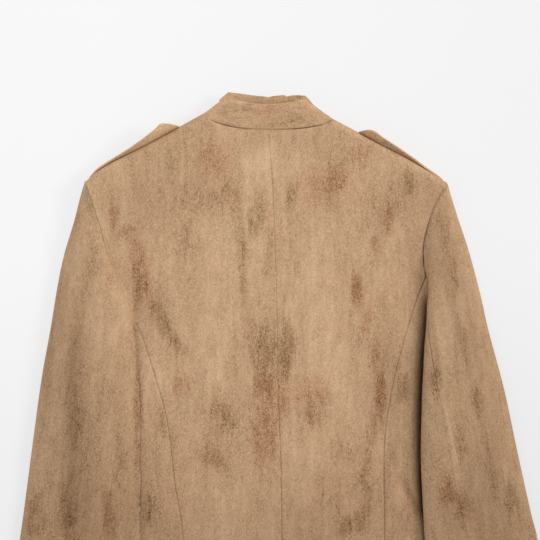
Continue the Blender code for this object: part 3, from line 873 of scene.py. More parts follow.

# Broad darkenings and lightenings over the garment, partly painted light and shade: darker
# towards the hem where the light falls off, a painted shadow beside the right sleeve's fold, the
# right sleeve darker partly as its nap and partly as painted shade against the key light, and
# painted light on the left sleeve's cap and the collar's inner strip; the rest is the nap's own
# colour.  In the same order: depth is the share of colour taken off
TONE_AND_SHADE_ROWS = (
    (-232, 60, 42, 260, 8, 0.24),
    (-168, 60, 26, 150, 0, 0.12),
    (-130, 330, 62, 44, 0, 0.1),
    # painted light on the left sleeve's cap by the shoulder, which slopes away from the key light
    (-196, 352, 20, 22, 18, -0.08),
    # painted shadow on the body beside the right sleeve's fold
    (162, 140, 9, 46, -3, 0.2),
    (132, 104, 20, 64, 0, 0.06),
    (46, 382, 24, 28, 0, 0.07),
    (-250, -50, 50, 60, 0, 0.07),
    (150, 360, 18, 18, 0, -0.07),
    (-140, -60, 60, 70, 0, 0.1),
    # the right sleeve darker, partly its nap and partly painted shade against the key light from the
    # right
    (205, 245, 26, 90, 8, 0.18),
    (252, -20, 56, 170, 10, 0.34),
    (150, 260, 30, 90, 0, 0.1),
    (228, 160, 34, 70, 8, 0.12),
    # darker towards the hem: painted fall-off of the light
    (0, -120, 340, 110, 0, 0.18),
    (-75, 285, 50, 60, 0, -0.08),
    (118, 90, 38, 84, 0, 0.08),
    (192, 250, 14, 80, 4, 0.06),
    (200, -50, 26, 30, 0, 0.1),
    (150, 40, 26, 120, 0, 0.12),
    (60, -40, 90, 70, 0, 0.1),
    (-9, 415, 70, 22, 0, 0.1),
    # painted light on the collar's inner strip, which lies in the back band's shade
    (-9, 436, 44, 5, 0, -0.18),
)
TONE_AND_SHADE_PATCHES = tuple(NapPatch(*row) for row in TONE_AND_SHADE_ROWS)

# How sharp the edges of the patches are, and which cloth takes its marks from above
NAP_EDGE = 1.5
TONE_AND_SHADE_EDGE = 1.0
FACING_UP = Fade(-0.3, 0.6)

# How far the marks on the side that lies down are shifted, once they are turned over
UNDERSIDE_SHIFT = (11.0, -29.0)


def nap_of(points: Array, normals: Array) -> dict[str, Array]:
    """Return how the nap lies at each point: how dark, how warm and how toned down, the last with
    painted light and shade.

    Args:
        points: Rows by columns of points.
        normals: The face side's direction at each.

    Returns:
        The shades by name.
    """
    upward = FACING_UP.at(normals[..., 2])
    above = (points[..., 0], points[..., 1])
    below = (UNDERSIDE_SHIFT[0] - above[0], above[1] + UNDERSIDE_SHIFT[1])
    shades = {"brushed": 0.0, "warm": 0.0, "tone_and_shade": 0.0}
    for share, (x, y) in ((upward, above), (1.0 - upward, below)):
        for place in NAP_PATCHES:
            reach = place.spread(x, y, NAP_EDGE) * share
            shades["brushed"] = shades["brushed"] + place.depth * reach
            shades["warm"] = shades["warm"] + place.warmth * reach
        # the broad rows, painted light and shade among them
        for place in TONE_AND_SHADE_PATCHES:
            loss = place.depth * place.spread(x, y, TONE_AND_SHADE_EDGE)
            shades["tone_and_shade"] = shades["tone_and_shade"] + loss * share
    return shades


@dataclass(frozen=True)
class Slack:
    """A slow rise and fall of loose cloth: waves that run mostly up it, of many lengths.

    seed picks the waves, length is the typical distance from one rise to the next and rise
    how high the cloth stands.  turn is how far the waves' directions vary, shortest and
    longest how far their lengths do, and drawn_out how much they are drawn out along it.
    """

    seed: int
    length: float
    rise: float
    waves: int = 9
    turn: float = 0.7
    shortest: float = 0.6
    longest: float = 1.7
    drawn_out: float = 0.6

    def at(self, x: Array, y: Array) -> Array:
        """Return the rise at each place.

        Args:
            x: Places across.
            y: Places up.

        Returns:
            The rise.
        """
        random = np.random.default_rng(self.seed)
        total = np.zeros_like(x)
        for _ in range(self.waves):
            turn = random.normal(0.0, self.turn)
            reach = self.length * random.uniform(self.shortest, self.longest)
            phase = random.uniform(0.0, 2.0 * math.pi)
            wave = x * math.cos(turn) + y * math.sin(turn) * self.drawn_out
            total += np.sin(2.0 * math.pi * wave / reach + phase)
        return self.rise * (total / (self.waves / 2.0))


@dataclass(frozen=True)
class Puckers:
    """Small uneven waves that gather the cloth beside a seam.

    height is how far they stand up at the seam, pitch the distance between them and reach
    how far from the seam they die out.  drift shifts them along the seam, at drift_pace from
    drift_start on, and middle and swing are how their height varies.
    """

    height: float = 0.35
    pitch: float = 17.0
    reach: float = 14.0
    drift: float = 0.9
    drift_pace: float = 2.1
    drift_start: float = 1.3
    middle: float = 0.65
    swing: float = 0.35

    def at(self, distance: Array, along: Array) -> Array:
        """Return the rise at a distance from the seam and along it.

        Args:
            distance: Distances from the seam.
            along: Distances along it.

        Returns:
            The rise.
        """
        drift = np.sin(along / self.pitch * self.drift_pace + self.drift_start) * self.drift
        share = self.middle + self.swing * np.sin(along / self.pitch)
        wave = np.sin(2.0 * math.pi * along / self.pitch + drift) * share
        return self.height * wave * np.exp(-((distance / self.reach) ** 2))


@dataclass
class Cloth:
    """One piece of cloth: a grid of points, rows by columns, with its face side known.

    hollow is how deep each point lies in a seam or crease, or below zero where a seam stands up
    or painted light is laid on.  The hollows get painted shade and the places below zero painted
    light: hollow_shade is the share of colour taken off a millimetre, less over about the first
    hollow_ease, and darkest_hollow the most that is taken off.  lowest is how near the
    surface the wall may come.  standing tells cloth that stands from cloth that faces up.
    A pressed seam is rounded by seam_round and uneven by seam_uneven, in seam_waves.
    """

    name: str
    points: Array
    flip: bool
    wall: float = 1.6
    hollow: Array | float = 0.0
    lowest: float = 0.0
    hollow_shade: float = 0.15
    hollow_ease: float = 2.0
    darkest_hollow: float = 0.92
    standing: Fade = Fade(0.25, 0.5)
    seam_round: float = 1.6
    seam_uneven: float = 0.14
    seam_waves: tuple[float, ...] = (9.0, 23.0, 37.0, 14.0)

    def normals(self) -> Array:
        """Return the face side's direction at each point.

        Returns:
            The directions, at length 1.
        """
        across = np.gradient(self.points, axis=1)
        along = np.gradient(self.points, axis=0)
        normal = unit(np.cross(across, along))
        return -normal if self.flip else normal

    def edge_distance(self, axis: int, at_end: bool) -> Array:
        """Return each point's distance over the cloth from one edge of the grid.

        Args:
            axis: 0 for an end of the columns, 1 for an end of the rows.
            at_end: Whether it is the last edge or the first.

        Returns:
            The distances.
        """
        gaps = np.linalg.norm(np.diff(self.points, axis=axis), axis=-1)
        start = np.zeros_like(np.take(gaps, [0], axis=axis))
        distance = np.concatenate((start, np.cumsum(gaps, axis=axis)), axis=axis)
        if at_end:
            return np.take(distance, [-1], axis=axis) - distance
        return distance

    def press(self, distance: Array, depth: float | Array, width: float) -> None:
        """Roll the cloth down towards a seam, a little unevenly along it; the dip gets painted shade,
        and a seam that stands up painted light.

        Args:
            distance: Each point's distance from the seam.
            depth: How far the cloth dips at the seam.
            width: How far from the seam the dip reaches.
        """
        x, y = self.points[..., 0], self.points[..., 1]
        first, second, third, fourth = self.seam_waves
        wave = self.seam_uneven * np.sin(y / first + x / second) * np.sin(y / third - x / fourth)
        uneven = 1.0 - self.seam_uneven + wave
        dip = depth * uneven * np.clip(1.0 - distance / width, 0.0, 1.0) ** self.seam_round
        self.points = self.points - self.normals() * dip[..., None]
        # keep the dip, for the painted shade laid on when the piece is made
        self.hollow = self.hollow + dip

    def lift(self, rise: Array) -> None:
        """Move the cloth out along its face side by a distance at each point."""
        self.points = self.points + self.normals() * rise[..., None]

    def facing_up(self) -> Array:
        """Return 1 where the cloth faces up and 0 where it stands or faces down."""
        return self.standing.at(self.normals()[..., 2])

    def raise_by(self, rise: Array) -> None:
        """Move the cloth straight up by a distance at each point."""
        self.points = self.points + np.stack((0.0 * rise, 0.0 * rise, rise), axis=-1)

    def crease(self, creases: tuple[Crease, ...], share: Array) -> None:
        """Press creases into the cloth, straight up or down, by a share at each point; the troughs get
        painted shade.

        Args:
            creases: The creases.
            share: The share.
        """
        x, y = self.points[..., 0], self.points[..., 1]
        rise = sum(one.relief(x, y) for one in creases) * share
        self.raise_by(rise)
        # keep the troughs' depth, for the painted shade laid on when the piece is made
        self.hollow = self.hollow + np.maximum(-rise, 0.0)

    def make(self, material: bpy.types.Material) -> bpy.types.Object:
        """Make the piece, its wall and how its nap lies, with painted shade in its hollows.

        Args:
            material: Its finish.

        Returns:
            The piece's object.
        """
        self.keep_above()
        rows, columns = self.points.shape[:2]
        mesh = bpy.data.meshes.new(self.name)
        number = np.arange(rows * columns).reshape(rows, columns)
        quads = np.stack(
            (number[:-1, :-1], number[:-1, 1:], number[1:, 1:], number[1:, :-1]), axis=-1
        ).reshape(-1, 4)
        if self.flip:
            quads = quads[:, ::-1]
        mesh.from_pydata((self.points.reshape(-1, 3) * MM).tolist(), [], quads.tolist())
        shades = nap_of(self.points, self.normals())
        # painted shade in the hollows of seams and creases, and painted light where hollow is below
        # zero, darkens or lightens the colour
        deep = np.abs(self.hollow)
        sunk = self.hollow * deep / (deep + self.hollow_ease) * self.hollow_shade
        sunk = np.minimum(sunk, self.darkest_hollow)
        shades["tone_and_shade"] = 1.0 - (1.0 - shades["tone_and_shade"]) * (1.0 - sunk)
        for name, shade in shades.items():
            layer = mesh.attributes.new(name, "FLOAT", "POINT")
            layer.data.foreach_set("value", shade.reshape(-1).astype(np.float32))
        mesh.shade_smooth()
        mesh.materials.append(material)
        piece = bpy.data.objects.new(self.name, mesh)
        bpy.context.scene.collection.objects.link(piece)
        wall = piece.modifiers.new("wall", "SOLIDIFY")
        wall.thickness = self.wall * MM
        wall.offset = -1.0
        wall.use_rim = True
        return piece

    def keep_above(self) -> None:
        """Keep the wall above the surface, with what lies next to cloth that faces up."""
        upward = np.maximum(self.normals()[..., 2], 0.0)
        for axis in (0, 1):
            for step in (-1, 1):
                upward = np.maximum(upward, np.roll(upward, step, axis))
        lowest = self.lowest + self.wall * upward
        self.points[..., 2] = np.maximum(self.points[..., 2], lowest)


def soften(piece: bpy.types.Object, width: float, segments: int) -> None:
    """Round the folded edges of a band.

    Args:
        piece: The band.
        width: How far the rounding reaches.
        segments: How many steps it has.
    """
    fold = piece.modifiers.new("fold", "BEVEL")
    fold.width = width * MM
    fold.segments = segments
    fold.angle_limit = math.radians(FOLD_ANGLE)


def linear(colour: str) -> tuple[float, float, float, float]:
    """Return a hex sRGB colour as linear red, green, blue and 1.

    Args:
        colour: The colour, as #RRGGBB.

    Returns:
        The linear values.
    """
    parts = [int(colour[start : start + 2], 16) / 255.0 for start in (1, 3, 5)]
    done = [c / 12.92 if c <= 0.04045 else ((c + 0.055) / 1.055) ** 2.4 for c in parts]
    return (*done, 1.0)


def add_node(
    tree: bpy.types.NodeTree,
    kind: str,
    settings: dict[str, Any] | None = None,
    sockets: dict[Any, Any] | None = None,
) -> bpy.types.Node:
    """Add a node.

    Args:
        tree: The tree that it goes in.
        kind: Its Blender type.
        settings: Its own properties.
        sockets: What its sockets are set to, or the outputs that they take, by name or
            number.

    Returns:
        The node.
    """
    node = tree.nodes.new(kind)
    for name, value in (settings or {}).items():
        setattr(node, name, value)
    for socket, value in (sockets or {}).items():
        if isinstance(value, bpy.types.NodeSocket):
            tree.links.new(value, node.inputs[socket])
        else:
            node.inputs[socket].default_value = value
    return node


def new_surface(
    name: str, look: dict[str, Any]
) -> tuple[bpy.types.Material, bpy.types.NodeTree, bpy.types.Node]:
    """Make a material and set its shader.

    Args:
        name: Its name.
        look: The shader's values, by socket.

    Returns:
        The material, its tree and its shader.
    """
    material = bpy.data.materials.new(name)
    material.use_nodes = True
    shader = material.node_tree.nodes["Principled BSDF"]
    for socket, value in look.items():
        shader.inputs[socket].default_value = value
    return material, material.node_tree, shader


@dataclass(frozen=True)
class NapMark:
    """One size of mark in the nap: how wide, how many times longer, how broken and bent."""

    width_mm: float
    stretch: float
    detail: float
    roughness: float
    warp: float


# The name of a sum, how it is made, and its terms.  A SMOOTH one has what is eased,
# from where to where, and the values that it then runs between.
NAP_SUMS = (
    # patches of brushed nap break up along their edges
    ("edge", "MULTIPLY_ADD", "ragged", 1.3, -1.8),
    ("edge", "MULTIPLY_ADD", "blotch", 0.9, "edge"),
    ("edge", "MULTIPLY_ADD", "streak", 1.5, "edge"),
    ("torn", "ADD", "brushed", "edge"),
    ("torn", "SMOOTH", "torn", 0.05, 1.15, 0.0, 0.54),
    ("soft", "MULTIPLY", "brushed", 0.42),
    # clouds and streaks of the whole hide
    ("dark", "MULTIPLY_ADD", "cloud", 0.9, -0.52),
    ("dark", "MULTIPLY_ADD", "drag", 0.9, "dark"),
    ("dark", "MULTIPLY_ADD", "streak", 0.6, "dark"),
    ("dark", "MULTIPLY_ADD", "blotch", 0.8, "dark"),
    ("dark", "MULTIPLY_ADD", "ragged", 0.5, "dark"),
    ("dark", "ADD", "dark", "soft"),
    ("pale", "SMOOTH", "dark", 1.35, 0.65, 0.0, 1.0),
    ("deep", "SMOOTH", "dark", 1.0, 2.2, 0.0, 0.75),
    ("shade", "ADD", "deep", "torn"),
    # redder and more olive places
    ("ruddy", "MULTIPLY_ADD", "warm", 0.7, "hue"),
    ("ruddy", "MULTIPLY_ADD", "ragged", 0.3, "ruddy"),
    ("rosy", "SMOOTH", "ruddy", 0.60, 1.05, 0.0, 0.55),
    ("olive", "SMOOTH", "ruddy", 0.60, 0.25, 0.0, 0.5),
    # specks, stronger where the nap lies dark
    ("speck", "MULTIPLY_ADD", "tuft", 0.65, -0.325),
    ("speck", "MULTIPLY_ADD", "fibre", 2.3, "speck"),
    ("speck", "ADD", "speck", -1.15),
    ("strength", "MULTIPLY_ADD", "shade", 1.35, 0.54),
    ("speck", "MULTIPLY_ADD", "speck", "strength", 1.0),
    # the broad darkening, with the painted shade of hollows and the painted light and shade of the
    # broad rows, takes its share off the specks and so the colour
    ("fall", "SUBTRACT", 1.0, "tone_and_shade"),
    ("speck", "MULTIPLY", "speck", "fall"),
    ("height", "MULTIPLY", "tuft", 0.5),
    ("height", "MULTIPLY_ADD", "fibre", 0.5, "height"),
    ("height", "MULTIPLY_ADD", "ragged", 0.4, "height"),
)


@dataclass(frozen=True)
class SuedeFinish:
    """Split suede, buffed, drum-dyed and brushed: a short nap that lies light or dark.

    It gives the eye a matt, cloudy surface: brown and reddish patches with ragged edges,
    narrow streaks down the way it was brushed, tufts and single fibres as light and dark
    specks, and a faint pale sheen where the fibres catch the light edge on.  The fibres of
    the real nap are about 0.1 mm wide, too fine to show, so they are drawn at 1.3 mm.  Where
    the nap falls dark it is also warmer, and so is the painted shade laid into its hollows and
    broad places: the light between its fibres takes on their colour.
    """

    name: str
    nap_turn: float = 0.0
    light: str = "#DAB793"
    middle: str = "#C9A581"
    dark: str = "#9C7957"
    rosy: str = "#C99D7B"
    rosy_dark: str = "#A07250"
    olive: str = "#BFA57D"
    cloud: NapMark = NapMark(55.0, 1.9, 3.0, 0.55, 0.4)
    drag: NapMark = NapMark(15.0, 6.0, 3.0, 0.55, 0.4)
    streak: NapMark = NapMark(4.5, 8.0, 4.0, 0.65, 0.3)
    blotch: NapMark = NapMark(11.0, 1.8, 6.0, 0.68, 0.5)
    ragged: NapMark = NapMark(4.0, 2.0, 5.0, 0.72, 0.6)
    tuft: NapMark = NapMark(2.3, 1.4, 3.0, 0.7, 0.8)
    fibre: NapMark = NapMark(1.25, 1.6, 3.0, 0.75, 0.8)
    hue: NapMark = NapMark(44.0, 1.4, 3.0, 0.6, 0.8)
    depth_powers: tuple[float, float, float] = (0.93, 1.04, 1.12)
    bump_strength: float = 0.7
    bump_mm: float = 0.7
    roughness: float = 0.96
    gloss: float = 0.12
    sheen: float = 0.15
    sheen_roughness: float = 0.5
    sheen_colour: str = "#F1D9BE"

    def build(self) -> bpy.types.Material:
        """Make the material.

        Returns:
            The material.
        """
        look = {
            "Roughness": self.roughness,
            "Specular IOR Level": self.gloss,
            "Sheen Weight": self.sheen,
            "Sheen Roughness": self.sheen_roughness,
            "Sheen Tint": linear(self.sheen_colour),
        }
        material, tree, shader = new_surface(self.name, look)
        found = self.marks(tree)
        for name in ("brushed", "warm", "tone_and_shade"):
            shade = add_node(tree, "ShaderNodeAttribute", settings={"attribute_name": name})
            found[name] = shade.outputs["Fac"]
        self.shades(tree, found)
        tree.links.new(self.colour(tree, found), shader.inputs["Base Color"])
        bump = add_node(
            tree,
            "ShaderNodeBump",
            sockets={
                "Strength": self.bump_strength,
                "Distance": self.bump_mm * MM,
                "Height": found["height"],
            },
        )
        tree.links.new(bump.outputs["Normal"], shader.inputs["Normal"])
        return material

    def marks(self, tree: bpy.types.NodeTree) -> dict[str, bpy.types.NodeSocket]:
        """Add the marks, each a noise that runs the way the nap was brushed.

        Args:
            tree: The material's tree.

        Returns:
            The marks by name.
        """
        place = add_node(tree, "ShaderNodeTexCoord").outputs["Object"]
        turned = add_node(
            tree,
            "ShaderNodeMapping",
            sockets={"Vector": place, "Rotation": (0.0, 0.0, math.radians(self.nap_turn))},
        ).outputs["Vector"]
        found = {}
        for name in ("cloud", "drag", "streak", "blotch", "ragged", "tuft", "fibre", "hue"):
            mark = getattr(self, name)
            longer = add_node(
                tree,
                "ShaderNodeMapping",
                sockets={"Vector": turned, "Scale": (1.0, 1.0 / mark.stretch, 1.0)},
            )
            found[name] = add_node(
                tree,
                "ShaderNodeTexNoise",
                sockets={
                    "Vector": longer.outputs["Vector"],
                    "Scale": 1.0 / (mark.width_mm * MM),
                    "Detail": mark.detail,
                    "Roughness": mark.roughness,
                    "Distortion": mark.warp,
                },
            ).outputs["Fac"]
        return found

    def shades(
        self, tree: bpy.types.NodeTree, found: dict[str, bpy.types.NodeSocket]
    ) -> None:
        """Add the sums of the marks, each named by its first word.

        Args:
            tree: The material's tree.
            found: The marks and the nap's own shades, to which the sums are added.
        """
        for name, kind, *terms in NAP_SUMS:
            if kind == "SMOOTH":
                node = add_node(
                    tree,
                    "ShaderNodeMapRange",
                    settings={"interpolation_type": "SMOOTHSTEP"},
                    sockets={"Value": found[terms[0]]} | dict(zip(RANGE_SOCKETS, terms[1:])),
                )
            else:
                node = add_node(
                    tree,
                    "ShaderNodeMath",
                    settings={"operation": kind},
                    sockets={n: found.get(term, term) for n, term in enumerate(terms)},
                )
            found[name] = node.outputs[0]

    def colour(
        self, tree: bpy.types.NodeTree, found: dict[str, bpy.types.NodeSocket]
    ) -> bpy.types.NodeSocket:
        """Add the colours, laid over one another.

        Args:
            tree: The material's tree.
            found: The marks and their sums.

        Returns:
            The finished colour.
        """
        # The name of a layer, how much of its second colour shows, and its two colours: a hex
        # one or an earlier layer's
        layers = (
            ("depths", "rosy", self.dark, self.rosy_dark),
            ("suede", "pale", self.middle, self.light),
            ("suede", "rosy", "suede", self.rosy),
            ("suede", "olive", "suede", self.olive),
            ("suede", "shade", "suede", "depths"),
        )
        for name, share, *colours in layers:
            under, over = (linear(c) if c.startswith("#") else found[c] for c in colours)
            found[name] = add_node(
                tree,
                "ShaderNodeMix",
                settings={"data_type": "RGBA"},
                sockets={0: found[share], 6: under, 7: over},
            ).outputs[2]
        # darker specks, painted shade among them, turn warmer
        channels = {}
        for channel, power in enumerate(self.depth_powers):
            channels[channel] = add_node(
                tree,
                "ShaderNodeMath",
                settings={"operation": "POWER"},
                sockets={0: found["speck"], 1: power},
            ).outputs[0]
        toned = add_node(tree, "ShaderNodeCombineColor", sockets=channels).outputs[0]
        return add_node(
            tree,
            "ShaderNodeMix",
            settings={"data_type": "RGBA", "blend_type": "MULTIPLY"},
            sockets={0: 1.0, 6: found["suede"], 7: toned},
        ).outputs[2]


@dataclass(frozen=True)
class ThreadFinish:
    """Spun polyester sewing thread, a shade darker than the suede, with a dull gloss and painted shade
    in the grooves between its plies.
    """

    name: str = "sewing_thread"
    colour: str = "#86643F"
    ply_shade_colour: str = "#6A4C30"
    ply_mm: float = 0.5
    bump_strength: float = 0.5
    bump_mm: float = 0.1
    roughness: float = 0.6

    def build(self) -> bpy.types.Material:
        """Make the material.

        Returns:
            The material.
        """
        material, tree, shader = new_surface(self.name, {"Roughness": self.roughness})
        place = add_node(tree, "ShaderNodeTexCoord").outputs["Object"]
        twist = add_node(
            tree,
            "ShaderNodeTexNoise",
            sockets={"Vector": place, "Scale": 1.0 / (self.ply_mm * MM), "Detail": 1.0},
        ).outputs["Fac"]
        # painted shade: darker where the twist's bump lies low, between the plies
        plies = add_node(
            tree,
            "ShaderNodeMix",
            settings={"data_type": "RGBA"},
            sockets={0: twist, 6: linear(self.ply_shade_colour), 7: linear(self.colour)},
        )
        tree.links.new(plies.outputs[2], shader.inputs["Base Color"])
        bump = add_node(
            tree,
            "ShaderNodeBump",
            sockets={
                "Strength": self.bump_strength,
                "Distance": self.bump_mm * MM,
                "Height": twist,
            },
        )
        tree.links.new(bump.outputs["Normal"], shader.inputs["Normal"])
        return material


@dataclass
class Body:
    """One half of the body: its back, side back and front, seamed and laid flat.

    A dip is how deep a seam is pressed, at the hem and high up where it has two, and
    dip_change is where one becomes the other.  near_seam has the distances from a seam that
    get a line of the grid, and evenings is how often each of the front's inner points is
    moved to the middle of the four around it.
    """

    pattern: HalfPattern
    finish: bpy.types.Material
    spacing: float = 3.0
    near_seam: tuple[float, ...] = (0.0, 0.35, 0.8, 1.3, 1.9, 2.8, 4.0)
    turn_rows: int = 9
    side_columns: int = 6
    back_width: float = 150.0
    side_back_width: float = 100.0
    front_width: float = 195.0
    front_length: float = 590.0
    centre_dip: tuple[float, float] = (1.15, 0.2)
    dip_change: Fade = Fade(20.0, 220.0)
    edge_dip: float = 1.3
    neck_end: Fade = Fade(0.56, 0.2)
    dip_width: float = 2.0
    shallow: float = 0.4
    slack: Slack = Slack(seed=5, length=95.0, rise=0.6)
    top_hold: Fade = Fade(0.0, 30.0)
    edge_hold: Fade = Fade(0.0, 24.0)
    underside: Fade = Fade(0.5, 0.4)
    side_share: float = 0.9
    evenings: int = 60
    seams: list[Array] = field(default_factory=list)

    def build(self) -> list[bpy.types.Object]:
        """Make the half's three pieces."""
        return [self.dress(self.back()), self.dress(self.side_back()), self.dress(self.front())]

    def rows(self, joint: float, length: float) -> Array:
        """Return shares up a panel, with one on the corner of its outer edge.

        Args:
            joint: The share at which the corner is.
            length: The panel's length.

        Returns:
            The shares.
        """
        low = seam_steps(length * joint, self.spacing, self.near_seam)
        high = seam_steps(length * (1.0 - joint), self.spacing, self.near_seam)
        return np.concatenate((low * joint, joint + high[1:] * (1.0 - joint)))

    def seam_depth(self, y: Array, depths: tuple[float, float]) -> Array:
        """Return how deep a seam is pressed: the first depth at the hem, the second high up."""
        return depths[0] + (depths[1] - depths[0]) * self.dip_change.at(y)

    def loosen(self, cloth: Cloth) -> None:
        """Give a piece of the back its slack and creases, held still along its top edge.

        Args:
            cloth: The piece.
        """
        x, y = cloth.points[..., 0], cloth.points[..., 1]
        away = self.top_hold.at(cloth.edge_distance(0, True)) * cloth.facing_up()
        cloth.lift(self.slack.at(x, y) * away)
        cloth.crease(BACK_CREASES, away)

    def flat_edge(self, seam: tuple[tuple[float, ...], ...], z: float) -> list[tuple[float, ...]]:
        """Return a side seam moved in to where the flat starts to turn, at a height."""
        roll = self.pattern.side.sign * self.pattern.sizes.side_roll
        return [(x - roll, y, z) for x, y, _ in seam]

    def back(self) -> Cloth:
        """Lay the back: centre seam to princess seam and armhole, hem to collar seam.

        Returns:
            Its cloth.
        """
        half, sizes = self.pattern, self.pattern.sizes
        outer = JoinedLine(half.princess, half.armhole, sizes.back_armhole_share)
        hem = partial(mix, half.centre.at(0.0), half.princess.at(0.0))
        top = partial(half.turn_start, face=Face.BACK)
        u = seam_steps(self.back_width, self.spacing, self.near_seam)
        v = self.rows(sizes.back_armhole_share, half.centre.length)[:, None]
        flat = stretched(patch(half.centre.at, outer.at, hem, top, u, v))
        turned = half.turned(u[None, :], quarter_turn(self.turn_rows)[:, None], Face.BACK)
        points = np.concatenate((flat, turned))
        cloth = Cloth("cloth_back_" + half.side.name, points, half.side.sign < 0.0)
        self.loosen(cloth)
        princess_rows = int(np.sum(v < sizes.back_armhole_share))
        centre = self.seam_depth(points[..., 1], self.centre_dip)
        outside = self.seam_depth(points[..., 1], half.side.princess_dip)
        outside[princess_rows:] = half.side.armhole_dip
        neck = 1.0 - self.neck_end.at(u / sizes.neck_share)
        cloth.press(cloth.edge_distance(1, False), centre, self.dip_width)
        cloth.press(cloth.edge_distance(1, True), outside, self.dip_width)
        cloth.press(cloth.edge_distance(0, True), self.edge_dip * neck, self.dip_width)
        shown = len(points) if half.side.armhole_dip > self.shallow else princess_rows
        self.seams.append(cloth.points[:shown, -1])
        if half.side.sign < 0.0:
            self.seams.append(cloth.points[: -self.turn_rows, 0])
        return cloth

    def side_back(self) -> Cloth:
        """Lay the side back: princess seam to side seam, hem to underarm.

        Returns:
            Its cloth.
        """
        half, sizes = self.pattern, self.pattern.sizes
        start = self.flat_edge(half.side.side_seam, sizes.side_back_z)
        inner = SeamLine([*start, half.side.armhole[0]])
        hem = partial(mix, half.princess.at(0.0), inner.at(0.0))

        def top(share: Array) -> Array:
            """Return the underarm edge."""
            return half.underarm.at(1.0 - share)

        u = seam_steps(self.side_back_width, self.spacing, self.near_seam)
        v = seam_steps(half.princess.length, self.spacing, self.near_seam)[:, None]
        flat = stretched(patch(half.princess.at, inner.at, hem, top, u, v))
        seam = half.side_seam.at(v[:, 0])[:, None, :]
        turned = rolled(flat[:, -1:, :], seam, quarter_turn(self.side_columns)[None, :])
        points = np.concatenate((flat, turned), axis=1)
        cloth = Cloth("cloth_side_back_" + half.side.name, points, half.side.sign < 0.0)
        self.loosen(cloth)
        lowest = seam[:1, :, 2] * self.side_share
        cloth.points[..., 2] = np.maximum(cloth.points[..., 2], lowest)
        depth = self.seam_depth(points[..., 1], half.side.princess_dip)
        cloth.press(cloth.edge_distance(1, False), depth, self.dip_width)
        self.seams.append(cloth.points[:, -1])
        return cloth

    def front(self) -> Cloth:
        """Lay the front: centre front edge to side seam and armhole, on the surface.

        Returns:
            Its cloth.
        """
        half, sizes = self.pattern, self.pattern.sizes
        sign = half.side.sign
        edge_x = sizes.left_edge_x if sign < 0.0 else sizes.right_edge_x
        # The fronts overlap, so the top edge starts at a share before the neck's centre
        past = math.asin(-sign * (edge_x - sizes.neck_centre_x) / sizes.neck_half_width)
        first = -sizes.neck_share * math.degrees(past) / 90.0
        margin = sizes.side_roll / (half.shoulder.length / (1.0 - sizes.neck_share))
        last = 1.0 - margin
        joint = sizes.front_armhole_share
        outer = JoinedLine(half.side_seam, half.front_armhole, joint)
        arm = self.flat_edge(half.side.front_armhole, 0.0)
        low = SeamLine([*self.flat_edge(half.side.side_seam, 0.0), arm[0]])
        high = SeamLine([*arm, half.turn_start(last, Face.FRONT)])
        inner = JoinedLine(low, high, joint)
        hem_corner = np.array((edge_x, sizes.hem_y, 0.0))
        centre = partial(mix, hem_corner, half.turn_start(first, Face.FRONT))
        hem = partial(mix, hem_corner, inner.at(0.0))

        def top(share: Array) -> Array:
            """Return where the front turns to the collar and shoulder seams."""
            return half.turn_start(first + (last - first) * share, Face.FRONT)

        u = seam_steps(self.front_width, self.spacing, self.near_seam)
        v = self.rows(joint, self.front_length)[:, None]
        flat = patch(centre, inner.at, hem, top, u, v)
        for _ in range(self.evenings):
            around = flat[:-2, 1:-1] + flat[2:, 1:-1] + flat[1:-1, :-2] + flat[1:-1, 2:]
            flat[1:-1, 1:-1] = around / 4.0
        side_turn = quarter_turn(self.side_columns)
        seam = outer.at(v[:, 0])[:, None, :]
        sides = rolled(flat[:, -1:, :], seam, side_turn[None, :])
        shares = np.concatenate((first + (last - first) * u, last + margin * np.sin(side_turn)))
        top_turn = quarter_turn(self.turn_rows)[:, None]
        turned = half.turned(shares[None, :], top_turn, Face.FRONT)
        points = np.concatenate((np.concatenate((flat, sides), axis=1), turned))
        points[..., 2] = np.maximum(points[..., 2], 0.0)
        if sign < 0.0:
            points[..., 2] += sizes.raised(points[..., 0], sizes.overlap_lift)
        cloth = Cloth("cloth_front_" + half.side.name, points, sign > 0.0)
        downward = self.underside.at(-cloth.normals()[..., 2])
        inside = self.edge_hold.at(cloth.edge_distance(1, False))
        cloth.crease(FRONT_CREASES, downward * inside)
        return cloth

    def dress(self, cloth: Cloth) -> bpy.types.Object:
        """Args:
            cloth: The piece's cloth.

        Returns:
            The piece.
        """
        node = cloth.name.removeprefix("cloth_")
        return declare(cloth.make(self.finish), node)


def declare(
    piece: bpy.types.Object, node: str
) -> bpy.types.Object:
    """Attach a piece to the body and hide the solid that it stands for.

    Args:
        piece: The piece.
        node: The solid that it stands for.

    Returns:
        The piece.
    """
    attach(piece, BODY)
    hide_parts(node)
    return piece


